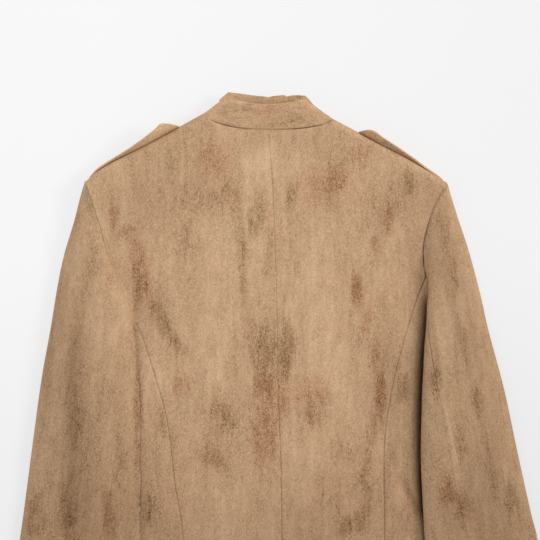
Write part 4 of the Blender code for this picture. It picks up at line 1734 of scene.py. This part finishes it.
@dataclass
class Sleeve:
    """A two-piece sleeve: rings from the armhole to the cuff, flattened and laid down.

    The shares are of the way from the inner fold to the outer; cap_fade is how much of the
    armhole's shape is left at each ring; floor_out and floor_up are how far outside the side
    seam and above the underarm the sleeve comes down from the body to the surface; near_start
    and near_side have the shares of the first ring and of the width that get a line of the
    grid; tuck and tuck_drop are how far the head goes into the armhole seam and under it.
    """

    pattern: HalfPattern
    finish: bpy.types.Material
    upper_columns: int = 120
    under_columns: int = 48
    turn_share: float = 0.9
    underarm_share: float = 0.12
    side_turn_share: float = 0.06
    underarm_ease: float = 2.8
    underarm_rise: float = 2.2
    under_start_rise: float = 1.0
    front_seam: float = 300.0
    cap_fade: tuple[float, ...] = (1.0, 0.38, 0.15, 0.04)
    under_cap_fade: float = 0.5
    top_roundness: float = 0.8
    fold_blend: Fade = Fade(0.0, 0.45)
    under_roundness: float = 0.6
    body_slope: float = 0.075
    clearance: float = 0.6
    floor_out: Fade = Fade(1.0, 16.0)
    floor_up: Fade = Fade(8.0, 16.0)
    front_clearance: float = 2.8
    front_ramp: Fade = Fade(-8.0, 8.0)
    lowest: float = 0.6
    tuck: float = 0.8
    tuck_drop: float = 0.15
    front_seam_dip: float = 0.6
    dip_change: Fade = Fade(90.0, 50.0)
    dip_width: float = 2.0
    shallow: float = 0.3
    stitched_row: int = 2
    stitched_y: float = 95.0
    slack: Slack = Slack(seed=11, length=70.0, rise=0.8)
    hidden_slack: Slack = Slack(seed=23, length=60.0, rise=0.7)
    puckers: Puckers = Puckers()
    head_hold: Fade = Fade(0.0, 60.0)
    crease_hold: Fade = Fade(0.0, 20.0)
    side_hold: Fade = Fade(0.0, 14.0)
    rows_a_ring: int = 14
    near_start: tuple[float, ...] = (0.0, 0.02, 0.045, 0.08)
    near_side: tuple[float, ...] = (0.0, 0.0054, 0.012, 0.0195)
    seams: list[Array] = field(default_factory=list)

    def build(self) -> list[bpy.types.Object]:
        """Make the upper and the under sleeve."""
        upper = self.dress(SleevePart.UPPER, self.upper_columns)
        return [upper, self.dress(SleevePart.UNDER, self.under_columns)]

    def armhole(self, share: Array, face: Face) -> Array:
        """Return points of the armhole seam, underarm to shoulder tip.

        Args:
            share: Shares of the seam.
            face: Which side of the sleeve.

        Returns:
            A point for each share.
        """
        half = self.pattern
        rise = self.underarm_rise * np.maximum(0.0, 1.0 - share / self.underarm_share)
        turn = math.pi / 2.0 * np.maximum(0.0, share - self.turn_share) / (1.0 - self.turn_share)
        over = half.turned(np.ones_like(share), turn, face)
        if face is Face.BACK:
            low = half.underarm.at(share / self.underarm_share)
            low[..., 2] += rise
            run = (share - self.underarm_share) / (self.turn_share - self.underarm_share)
            point = np.where((share < self.underarm_share)[..., None], low, half.armhole.at(run))
        else:
            start = half.underarm.at(0.0)
            seam = half.front_armhole.at(0.0)
            turn = math.pi / 2.0 * np.clip(share / self.side_turn_share, 0.0, 1.0)
            low = rolled(start, seam, turn)
            run = (share - self.side_turn_share) / (self.turn_share - self.side_turn_share)
            inner = (share < self.side_turn_share)[..., None]
            point = np.where(inner, low, half.front_armhole.at(run))
            ease = np.minimum(1.0, share / self.side_turn_share)
            point[..., 0] += half.side.sign * self.underarm_ease * ease
            point[..., 2] += rise + self.under_start_rise * ease
        return np.where((share > self.turn_share)[..., None], over, point)

    def floor(self, point: Array) -> Array:
        """Return the height of what the sleeve lies on: the body's side, or the surface.

        Args:
            point: The places.

        Returns:
            The height under each.
        """
        half = self.pattern
        sign, y = half.side.sign, point[..., 1]
        outside = (point[..., 0] - half.side_seam.at_height(y)[..., 0]) * sign
        above = y - half.underarm.at(0.0)[1]
        body = half.sizes.side_back_z + self.body_slope * np.maximum(-outside, 0.0) + self.clearance
        body = body * (1.0 - self.floor_out.at(outside)) * (1.0 - self.floor_up.at(above))
        within = (half.front_armhole.at_height(y)[..., 0] - point[..., 0]) * sign
        return np.maximum(body, self.front_clearance * self.front_ramp.at(within))

    def ring_point(self, index: int, angle: Array) -> Array:
        """Return points of a ring; 0 is the inner fold, 90 the top, 180 the outer fold.

        Args:
            index: Which ring; 0 is the armhole seam.
            angle: Places round it, in degrees.

        Returns:
            The points.
        """
        turn = np.radians(angle)
        share = 0.5 * (1.0 - np.cos(turn))
        sine = np.sin(turn)
        on_top = sine >= 0.0
        seam = np.where(
            on_top[..., None], self.armhole(share, Face.BACK), self.armhole(share, Face.FRONT)
        )
        if index == 0:
            return seam
        outer_x, outer_y, inner_x, inner_y, outer_z, inner_z, rise = self.pattern.side.rings[index - 1]
        inner = np.array((inner_x, inner_y, inner_z - self.pattern.side.fold_settle))
        point = mix(np.broadcast_to(inner, (*share.shape, 3)), (outer_x, outer_y, outer_z), share)
        if index < len(self.cap_fade):
            first = self.armhole(np.zeros_like(share), Face.BACK)
            tip = self.pattern.turned(1.0, math.pi / 2.0, Face.BACK)
            bend = (seam - mix(first, tip, share)) * self.cap_fade[index]
            bend = np.where(on_top[..., None], bend, bend * self.under_cap_fade)
            point[..., :2] += bend[..., :2]
        near_fold = 1.0 - self.fold_blend.at(share)
        roundness = mix(self.top_roundness, self.pattern.side.fold_roundness, near_fold)
        top = point[..., 2] + rise * np.abs(sine) ** roundness
        drop = point[..., 2] - self.floor(point)
        under = point[..., 2] - drop * np.abs(sine) ** self.under_roundness
        point[..., 2] = np.where(on_top, top, under)
        return point

    def at(self, index: int, share: Any, angle: Array) -> Array:
        """Return points between a ring and the next, at a share of the way.

        Args:
            index: The ring.
            share: The share.
            angle: Places round it, in degrees.

        Returns:
            The points.
        """
        last = len(self.pattern.side.rings)
        start, end = self.ring_point(index, angle), self.ring_point(index + 1, angle)
        before = self.ring_point(index - 1, angle) if index > 0 else start * 2.0 - end
        after = self.ring_point(index + 2, angle) if index + 2 <= last else end * 2.0 - start
        t = np.asarray(share, float)[..., None]
        point = bend_between(start, end, (end - before) * 0.5, (after - start) * 0.5, t)
        point[..., 2] = np.maximum(point[..., 2], 0.0)
        return point

    def lay(self, part: SleevePart, columns: int) -> Cloth:
        """Lay one piece of the sleeve.

        Args:
            part: Which piece.
            columns: How many steps it has across.

        Returns:
            The cloth.
        """
        seams = self.pattern.side.back_seam
        near = np.array(self.near_side)
        even = np.linspace(0.0, 1.0, columns + 1)[1:-1]
        shares = np.unique(np.round(np.concatenate((near, even, 1.0 - near)), 5))
        steps = np.linspace(0.0, 1.0, self.rows_a_ring + 1)[1:]
        lines = []
        for index in range(len(seams) - 1):
            begin = self.near_start if index == 0 else ()
            for step in (*begin, *steps):
                seam = seams[index] + (seams[index + 1] - seams[index]) * step
                first, last = seam, self.front_seam
                if part is SleevePart.UNDER:
                    first, last = self.front_seam - 360.0, seam
                lines.append(self.at(index, step, first + (last - first) * shares))
        name = f"cloth_sleeve_{part.value}_{self.pattern.side.name}"
        flip = self.pattern.side.sign > 0.0
        return Cloth(name, np.array(lines), flip, lowest=self.lowest)

    def dress(self, part: SleevePart, columns: int) -> bpy.types.Object:
        """Args:
            part: Which piece.
            columns: How many steps it has across.

        Returns:
            The piece.
        """
        cloth = self.lay(part, columns)
        side = self.pattern.side
        x, y = cloth.points[..., 0], cloth.points[..., 1]
        head = cloth.edge_distance(0, False)
        across, end = cloth.edge_distance(1, False), cloth.edge_distance(1, True)
        loose = self.head_hold.at(head)
        up = cloth.facing_up()
        cloth.raise_by(self.slack.at(x, y) * loose * up)
        cloth.crease(SLEEVE_CREASES, up * self.crease_hold.at(head))
        if part is SleevePart.UPPER:
            cloth.lift(self.puckers.at(head, across))
            back, front = across, end
        else:
            inside = self.side_hold.at(across) * self.side_hold.at(end) * (1.0 - up)
            cloth.lift(-np.abs(self.hidden_slack.at(x, y)) * loose * inside)
            back, front = end, across
        cloth.press(head, side.armhole_dip, self.dip_width)
        cloth.points[0] += unit(cloth.points[0] - cloth.points[1]) * self.tuck
        cloth.points[0, :, 2] -= self.tuck_drop * up[0]
        low, high = side.back_seam_dip
        cloth.press(back, low + (high - low) * self.dip_change.at(y), self.dip_width)
        cloth.press(front, self.front_seam_dip, self.dip_width)
        if part is SleevePart.UPPER:
            stitched = cloth.points[self.stitched_row :]
            self.seams.append(stitched[:, -1])
            if high > self.shallow:
                self.seams.append(stitched[:, 0][stitched[:, 0, 1] > self.stitched_y])
        node = f"sleeve_{part.value}_{side.name}"
        return declare(cloth.make(self.finish), node)


@dataclass
class CollarBand:
    """The stand collar: one doubled band round the neck, its left end lying on its right.

    near_base, even_part and near_top are the shares of the band's height that get a row of
    the grid; front_bow is how far the front bulges; seam_end is where round the neck, in
    degrees from the back's centre, the seam's dip ends, and front_start where the front
    begins; stitched is the least share of the dip that shows stitches.
    """

    sizes: BodySizes
    finish: bpy.types.Material
    top_centre_x: float = -10.7
    top_half_width: float = 42.8
    top_middle_z: float = 14.0
    top_back_z: float = 26.5
    top_back_y: float = 428.2
    top_front_y: float = 437.0
    top_left_y: float = 443.0
    top_right_y: float = 439.6
    lift: float = 2.6
    front_top_z: float = 20.5
    front_start: Fade = Fade(90.0, 50.0)
    front_bow: float = 0.8
    corner_drop: float = 3.0
    corner_spread: float = 26.0
    front_rise: float = 0.65
    notch: float = 0.9
    notch_width: float = 3.2
    seam_end: Fade = Fade(50.0, 20.0)
    seam_dip: float = 1.3
    seam_width: float = 1.6
    stitched: float = 0.2
    end_round: float = 3.4
    slack: Slack = Slack(seed=31, length=40.0, rise=0.25)
    wall: float = 2.2
    fold_width: float = 0.8
    fold_segments: int = 2
    columns: int = 190
    rows: int = 14
    near_base: tuple[float, ...] = (0.0, 0.012, 0.03, 0.05, 0.08)
    even_part: tuple[float, float] = (0.13, 0.94)
    near_top: tuple[float, ...] = (0.97, 1.0)
    seams: list[Array] = field(default_factory=list)

    def reach(self, centre_x: float, half_width: float) -> tuple[float, float]:
        """Return how far round the band's left and right ends lie, in degrees.

        Args:
            centre_x: The neck's centre.
            half_width: Half the neck's width.

        Returns:
            The two angles.
        """
        left = 180.0 + math.degrees(math.asin((self.sizes.left_edge_x - centre_x) / half_width))
        right = 180.0 - math.degrees(math.asin((self.sizes.right_edge_x - centre_x) / half_width))
        return left, right

    def top_point(self, angle: Array) -> Array:
        """Return points of the band's top edge; a minus angle is on the left.

        Args:
            angle: Places round the neck, in degrees.

        Returns:
            The points.
        """
        turn = np.radians(np.abs(angle))
        cosine, sine = np.cos(turn), np.sin(turn)
        at_back = cosine >= 0.0
        x = self.top_centre_x + np.sign(angle) * self.top_half_width * sine
        end_y = np.where(at_back, self.top_back_y, self.top_front_y)
        side_y = np.where(angle < 0.0, self.top_left_y, self.top_right_y)
        rise = np.abs(sine) ** (1.0 / self.front_rise)
        away = np.where(at_back, 1.0 - np.abs(cosine), rise)
        y = end_y + (side_y - end_y) * away
        y = y - self.corner_drop * np.exp(-(((np.abs(angle) - 90.0) / self.corner_spread) ** 2))
        for end_x in (self.sizes.left_edge_x, self.sizes.right_edge_x):
            dip = self.notch * np.exp(-(((x - end_x) / self.notch_width) ** 2))
            y = y - np.where(at_back, 0.0, dip)
        depth = np.where(
            at_back, self.top_back_z - self.top_middle_z, self.top_middle_z - self.front_top_z
        )
        return np.stack((x, y, self.top_middle_z + depth * cosine), axis=-1)

    def build(self) -> bpy.types.Object:
        """Returns:
            The piece.
        """
        sizes = self.sizes
        base_left, base_right = self.reach(sizes.neck_centre_x, sizes.neck_half_width)
        top_left, top_right = self.reach(self.top_centre_x, self.top_half_width)
        share = np.linspace(0.0, 1.0, self.columns + 1)
        base_angle = -base_left + (base_right + base_left) * share
        top_angle = -top_left + (top_right + top_left) * share
        turn = np.abs(base_angle)
        base = np.where(
            (base_angle < 0.0)[:, None],
            sizes.neck_point(turn, LEFT.sign, LEFT.neck_y),
            sizes.neck_point(turn, RIGHT.sign, RIGHT.neck_y),
        )
        top = self.top_point(top_angle)
        from_end = np.minimum(share, 1.0 - share)
        reach = from_end * np.linalg.norm(np.diff(top, axis=0), axis=-1).sum()
        short = 1.0 - np.sqrt(1.0 - np.clip(1.0 - reach / self.end_round, 0.0, 1.0) ** 2)
        top = mix(top, base, short * self.end_round / np.linalg.norm(top - base, axis=-1))
        even = np.linspace(*self.even_part, self.rows)
        heights = np.concatenate((self.near_base, even, self.near_top))[:, None]
        points = mix(base, top, np.broadcast_to(heights, (len(heights), len(base))))
        bulge = (top[:, 2] - base[:, 2]) * heights * (1.0 - heights) * self.front_bow
        points[..., 2] += bulge * self.front_start.at(turn)
        raised = sizes.raised(points[..., 0], self.lift)
        points[..., 2] += np.where(base_angle < -90.0, raised, 0.0)
        cloth = Cloth("cloth_collar", points, False, self.wall)
        cloth.lift(self.slack.at(points[..., 0], points[..., 1]))
        fade = 1.0 - self.seam_end.at(turn)
        cloth.press(cloth.edge_distance(0, False), self.seam_dip * fade, self.seam_width)
        self.seams.append(cloth.points[0][fade > self.stitched])
        piece = cloth.make(self.finish)
        soften(piece, self.fold_width, self.fold_segments)
        return declare(piece, "collar")


@dataclass
class ShoulderStrap:
    """A shoulder strap: a flat tab on edge along the shoulder, leaning out at its end.

    foot is how far its lower edge stands off the seam at most and curl how late it leans
    out; its upper edge is sunk by sunk where sinking is full; its face that lies in shade in the
    slit beside the shoulder is lightened by painted light, given as a hollow's opposite.
    """

    pattern: HalfPattern
    finish: bpy.types.Material
    wall: float = 2.0
    foot: float = 0.8
    curl: float = 4.6
    strap_painted_light: float = 2.2
    sunk: float = 13.0
    sinking: Fade = Fade(0.2, 0.6)
    slack: Slack = Slack(seed=41, length=36.0, rise=0.2)
    fold_width: float = 0.9
    fold_segments: int = 3
    rows: int = 60
    columns: int = 24

    def edge(self, reach: float) -> Array:
        """Return one long edge of the strap, each point with half the strap's width as z.

        Args:
            reach: The furthest that it stands off the seam.

        Returns:
            The points.
        """
        half = self.pattern
        outward = -half.inward(1.0)
        path = []
        for along, stand_off, half_width in half.side.strap:
            point = half.shoulder.at(along / half.shoulder.length) + outward * min(stand_off, reach)
            path.append((point[0], point[1], half_width))
        return SeamLine(path).at(np.linspace(0.0, 1.0, self.rows + 1))

    def build(self) -> bpy.types.Object:
        """Returns:
            The piece.
        """
        half = self.pattern
        name = half.side.name
        across = np.linspace(-1.0, 1.0, self.columns + 1)[None, :]
        upper = 0.5 + 0.5 * across
        points = mix(
            self.edge(self.foot)[:, None, :], self.edge(math.inf)[:, None, :], upper**self.curl
        )
        along = np.linspace(0.0, 1.0, self.rows + 1)[:, None]
        raised = points[..., 2] * across - self.sunk * self.sinking.at(along) * upper
        points[..., 2] = half.sizes.shoulder_seam_z + raised
        # painted light on the strap's shaded face, as a hollow below zero
        pale = -self.strap_painted_light
        cloth = Cloth("cloth_strap_" + name, points, half.side.sign < 0.0, self.wall, pale)
        cloth.lift(self.slack.at(points[..., 0], points[..., 1] + points[..., 2]))
        piece = cloth.make(self.finish)
        soften(piece, self.fold_width, self.fold_segments)
        return declare(piece, "shoulder_strap_" + name)


@dataclass
class SeamStitching:
    """Lockstitching that shows at the bottom of the seams: one short thread after another."""

    seams: list[Array]
    finish: bpy.types.Material
    pitch: float = 2.5
    length: float = 1.9
    thickness: float = 0.36
    unevenness: float = 0.2
    seed: int = 7
    segments: int = 6
    rings: int = 4

    def tree(self) -> tuple[bpy.types.NodeTree, dict[str, str]]:
        """Make the tree that lays the stitches along the seams' lines.

        Returns:
            The tree, and its inputs' identifiers by name.
        """
        tree = bpy.data.node_groups.new("stitches_along_seams", "GeometryNodeTree")
        identifiers = {}
        for name, kind in (
            ("Seams", "Geometry"),
            ("Pitch", "Float"),
            ("Length", "Float"),
            ("Thickness", "Float"),
            ("Unevenness", "Float"),
            ("Seed", "Int"),
            ("Thread", "Material"),
        ):
            kind = "NodeSocket" + kind
            socket = tree.interface.new_socket(name=name, in_out="INPUT", socket_type=kind)
            identifiers[name] = socket.identifier
        tree.interface.new_socket(name="Stitches", in_out="OUTPUT", socket_type="NodeSocketGeometry")
        given = add_node(tree, "NodeGroupInput").outputs
        found = {name: given[name] for name in identifiers}
        sphere = {"Segments": self.segments, "Rings": self.rings, "Radius": 0.5}
        size = {"X": "Thickness", "Y": "Thickness", "Z": "long"}
        laid = {"Points": "places", "Instance": "stitch", "Rotation": "turned", "Scale": "size"}
        # The name of a step, its node, its settings, and what its sockets are set to or, by
        # the name of an earlier step, take
        steps = (
            ("lines", "GeometryNodeMeshToCurve", {}, {"Mesh": "Seams"}),
            (
                "places",
                "GeometryNodeResampleCurve",
                {"mode": "LENGTH"},
                {"Curve": "lines", "Length": "Pitch"},
            ),
            ("tangent", "GeometryNodeInputTangent", {}, {}),
            ("turned", "FunctionNodeAlignRotationToVector", {"axis": "Z"}, {"Vector": "tangent"}),
            ("shortest", "ShaderNodeMath", {"operation": "SUBTRACT"}, {0: 1.0, 1: "Unevenness"}),
            ("share", "FunctionNodeRandomValue", {}, {2: "shortest", 3: 1.0, "Seed": "Seed"}),
            ("long", "ShaderNodeMath", {"operation": "MULTIPLY"}, {0: "share", 1: "Length"}),
            ("size", "ShaderNodeCombineXYZ", {}, size),
            ("stitch", "GeometryNodeMeshUVSphere", {}, sphere),
            ("laid", "GeometryNodeInstanceOnPoints", {}, laid),
            ("smooth", "GeometryNodeSetShadeSmooth", {}, {"Geometry": "laid"}),
            ("real", "GeometryNodeRealizeInstances", {}, {"Geometry": "smooth"}),
            ("dressed", "GeometryNodeSetMaterial", {}, {"Geometry": "real", "Material": "Thread"}),
        )
        for name, kind, settings, terms in steps:
            sockets = {socket: found.get(term, term) for socket, term in terms.items()}
            node = add_node(tree, kind, settings, sockets)
            found[name] = node.outputs[NUMBER_OUTPUT if name == "share" else 0]
        add_node(tree, "NodeGroupOutput", sockets={0: found["dressed"]})
        return tree, identifiers

    def build(self) -> bpy.types.Object:
        """Lay the stitches along every seam and put them on the frame as one mesh.

        Returns:
            The piece.
        """
        points, edges = [], []
        for seam in self.seams:
            start = len(points)
            points.extend((seam * MM).tolist())
            edges.extend((start + n, start + n + 1) for n in range(len(seam) - 1))
        lines = bpy.data.meshes.new("seam_lines")
        lines.from_pydata(points, edges, [])
        source = bpy.data.objects.new("seam_lines", lines)
        bpy.context.scene.collection.objects.link(source)
        tree, identifiers = self.tree()
        modifier = source.modifiers.new("stitches", "NODES")
        modifier.node_group = tree
        for name, value in (
            ("Pitch", self.pitch * MM),
            ("Length", self.length * MM),
            ("Thickness", self.thickness * MM),
            ("Unevenness", self.unevenness),
            ("Seed", self.seed),
            ("Thread", self.finish),
        ):
            modifier[identifiers[name]] = value
        laid = source.evaluated_get(bpy.context.evaluated_depsgraph_get())
        mesh = bpy.data.meshes.new_from_object(laid)
        mesh.name = "seam_stitching"
        source.modifiers.remove(modifier)
        bpy.data.objects.remove(source)
        piece = bpy.data.objects.new("seam_stitching", mesh)
        bpy.context.scene.collection.objects.link(piece)
        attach(piece, BODY)
        LOG.info("%s: %d faces", piece.name, len(mesh.polygons))
        return piece


@dataclass(frozen=True)
class Lamp:
    """A soft light: where it hangs, its width and height, its watts and its colour."""

    name: str
    place: tuple[float, float, float]
    size: tuple[float, float]
    watts: float
    colour: str

    def hang(self, aim: tuple[float, float]) -> None:
        """Hang the lamp, facing a place on the surface.

        Args:
            aim: The place.
        """
        data = bpy.data.lights.new(self.name, "AREA")
        data.shape = "RECTANGLE"
        data.size, data.size_y = self.size[0] * MM, self.size[1] * MM
        data.energy = self.watts
        data.color = linear(self.colour)[:3]
        lamp = bpy.data.objects.new(self.name, data)
        lamp.location = [value * MM for value in self.place]
        way = Vector((*aim, 0.0)) - Vector(self.place)
        lamp.rotation_euler = way.to_track_quat("-Z", "Y").to_euler()
        bpy.context.scene.collection.objects.link(lamp)


@dataclass
class Studio:
    """A pale table lit from below, broad soft lights and a camera straight above.

    view_height is how much shows from top to bottom, at view_plane above the surface; a glow
    has the axis that it changes along, from where to where, and how bright it is at each.
    clip and floor_reach, and the places in glows, are in metres.
    """

    view_centre: tuple[float, float] = (-6.84, 239.4)
    view_height: float = 615.6
    camera_height: float = 5000.0
    view_plane: float = 14.0
    sensor: float = 36.0
    clip: tuple[float, float] = (0.1, 30.0)
    room_colour: str = "#F6F7F9"
    room_strength: float = 0.64
    lamps: tuple[Lamp, ...] = (
        Lamp("key", (4200.0, 1100.0, 3200.0), (1800.0, 1800.0), 105.0, "#FFFDFA"),
        Lamp("top", (-200.0, 2100.0, 1700.0), (1500.0, 1500.0), 18.0, "#FCFDFF"),
    )
    floor_reach: float = 6.0
    floor_z: float = -0.4
    floor_colour: str = "#8C8C8C"
    glow_colour: str = "#FDFDFE"
    glows: tuple[tuple[Any, ...], ...] = (
        ("X", -0.2, 0.28, 0.690, 0.640),
        ("Y", 0.25, -0.1, 0.0, -0.07),
    )

    def build(self) -> None:
        """Make the floor, the light and the camera."""
        self.floor()
        for lamp in self.lamps:
            lamp.hang(self.view_centre)
        scene = bpy.context.scene
        world = bpy.data.worlds.new("soft_room")
        world.use_nodes = True
        back = world.node_tree.nodes["Background"]
        back.inputs["Color"].default_value = linear(self.room_colour)
        back.inputs["Strength"].default_value = self.room_strength
        scene.world = world
        scene.view_settings.view_transform = "Standard"
        scene.view_settings.look = "None"
        data = bpy.data.cameras.new("above")
        data.sensor_width = self.sensor
        distance = self.camera_height - self.view_plane
        data.lens = self.sensor * distance / self.view_height
        data.clip_start, data.clip_end = self.clip
        camera = bpy.data.objects.new("above", data)
        x, y = self.view_centre
        camera.location = (x * MM, y * MM, self.camera_height * MM)
        scene.collection.objects.link(camera)
        scene.camera = camera

    def floor(self) -> None:
        """Make the pale table top under the jacket."""
        x, z = self.floor_reach, self.floor_z * MM
        mesh = bpy.data.meshes.new("floor")
        corners = [(-x, -x, z), (x, -x, z), (x, x, z), (-x, x, z)]
        mesh.from_pydata(corners, [], [(0, 1, 2, 3)])
        look = {
            "Base Color": linear(self.floor_colour),
            "Emission Color": linear(self.glow_colour),
            "Roughness": 0.95,
            "Specular IOR Level": 0.1,
        }
        paint, tree, shader = new_surface("lit_opal_table", look)
        place = add_node(tree, "ShaderNodeTexCoord").outputs["Object"]
        axes = add_node(tree, "ShaderNodeSeparateXYZ", sockets={0: place}).outputs
        parts = {}
        for number, (axis, *ends) in enumerate(self.glows):
            parts[number] = add_node(
                tree,
                "ShaderNodeMapRange",
                sockets={"Value": axes[axis]} | dict(zip(RANGE_SOCKETS, ends)),
            ).outputs[0]
        total = add_node(tree, "ShaderNodeMath", sockets=parts).outputs[0]
        tree.links.new(total, shader.inputs["Emission Strength"])
        mesh.materials.append(paint)
        floor = bpy.data.objects.new("floor", mesh)
        bpy.context.scene.collection.objects.link(floor)


def main() -> None:
    """Build the jacket's sub-assemblies in order and report each."""
    logging.basicConfig(level=logging.INFO, format="%(message)s")
    Studio().build()
    body_suede = SuedeFinish("brushed_suede_body").build()
    band_suede = SuedeFinish("brushed_suede_band", nap_turn=90.0).build()
    seams = []
    for side, turn in ((LEFT, 9.0), (RIGHT, -9.0)):
        sleeve_suede = SuedeFinish(f"brushed_suede_sleeve_{side.name}", nap_turn=turn).build()
        pattern = HalfPattern(side, BODY_SIZES)
        body = Body(pattern, body_suede)
        sleeve = Sleeve(pattern, sleeve_suede)
        pieces = [*body.build(), *sleeve.build(), ShoulderStrap(pattern, band_suede).build()]
        seams += body.seams + sleeve.seams
        LOG.info("%s half: %d pieces", side.name, len(pieces))
    collar = CollarBand(BODY_SIZES, band_suede)
    collar.build()
    SeamStitching(seams + collar.seams, ThreadFinish().build()).build()


if __name__ == "__main__":
    main()
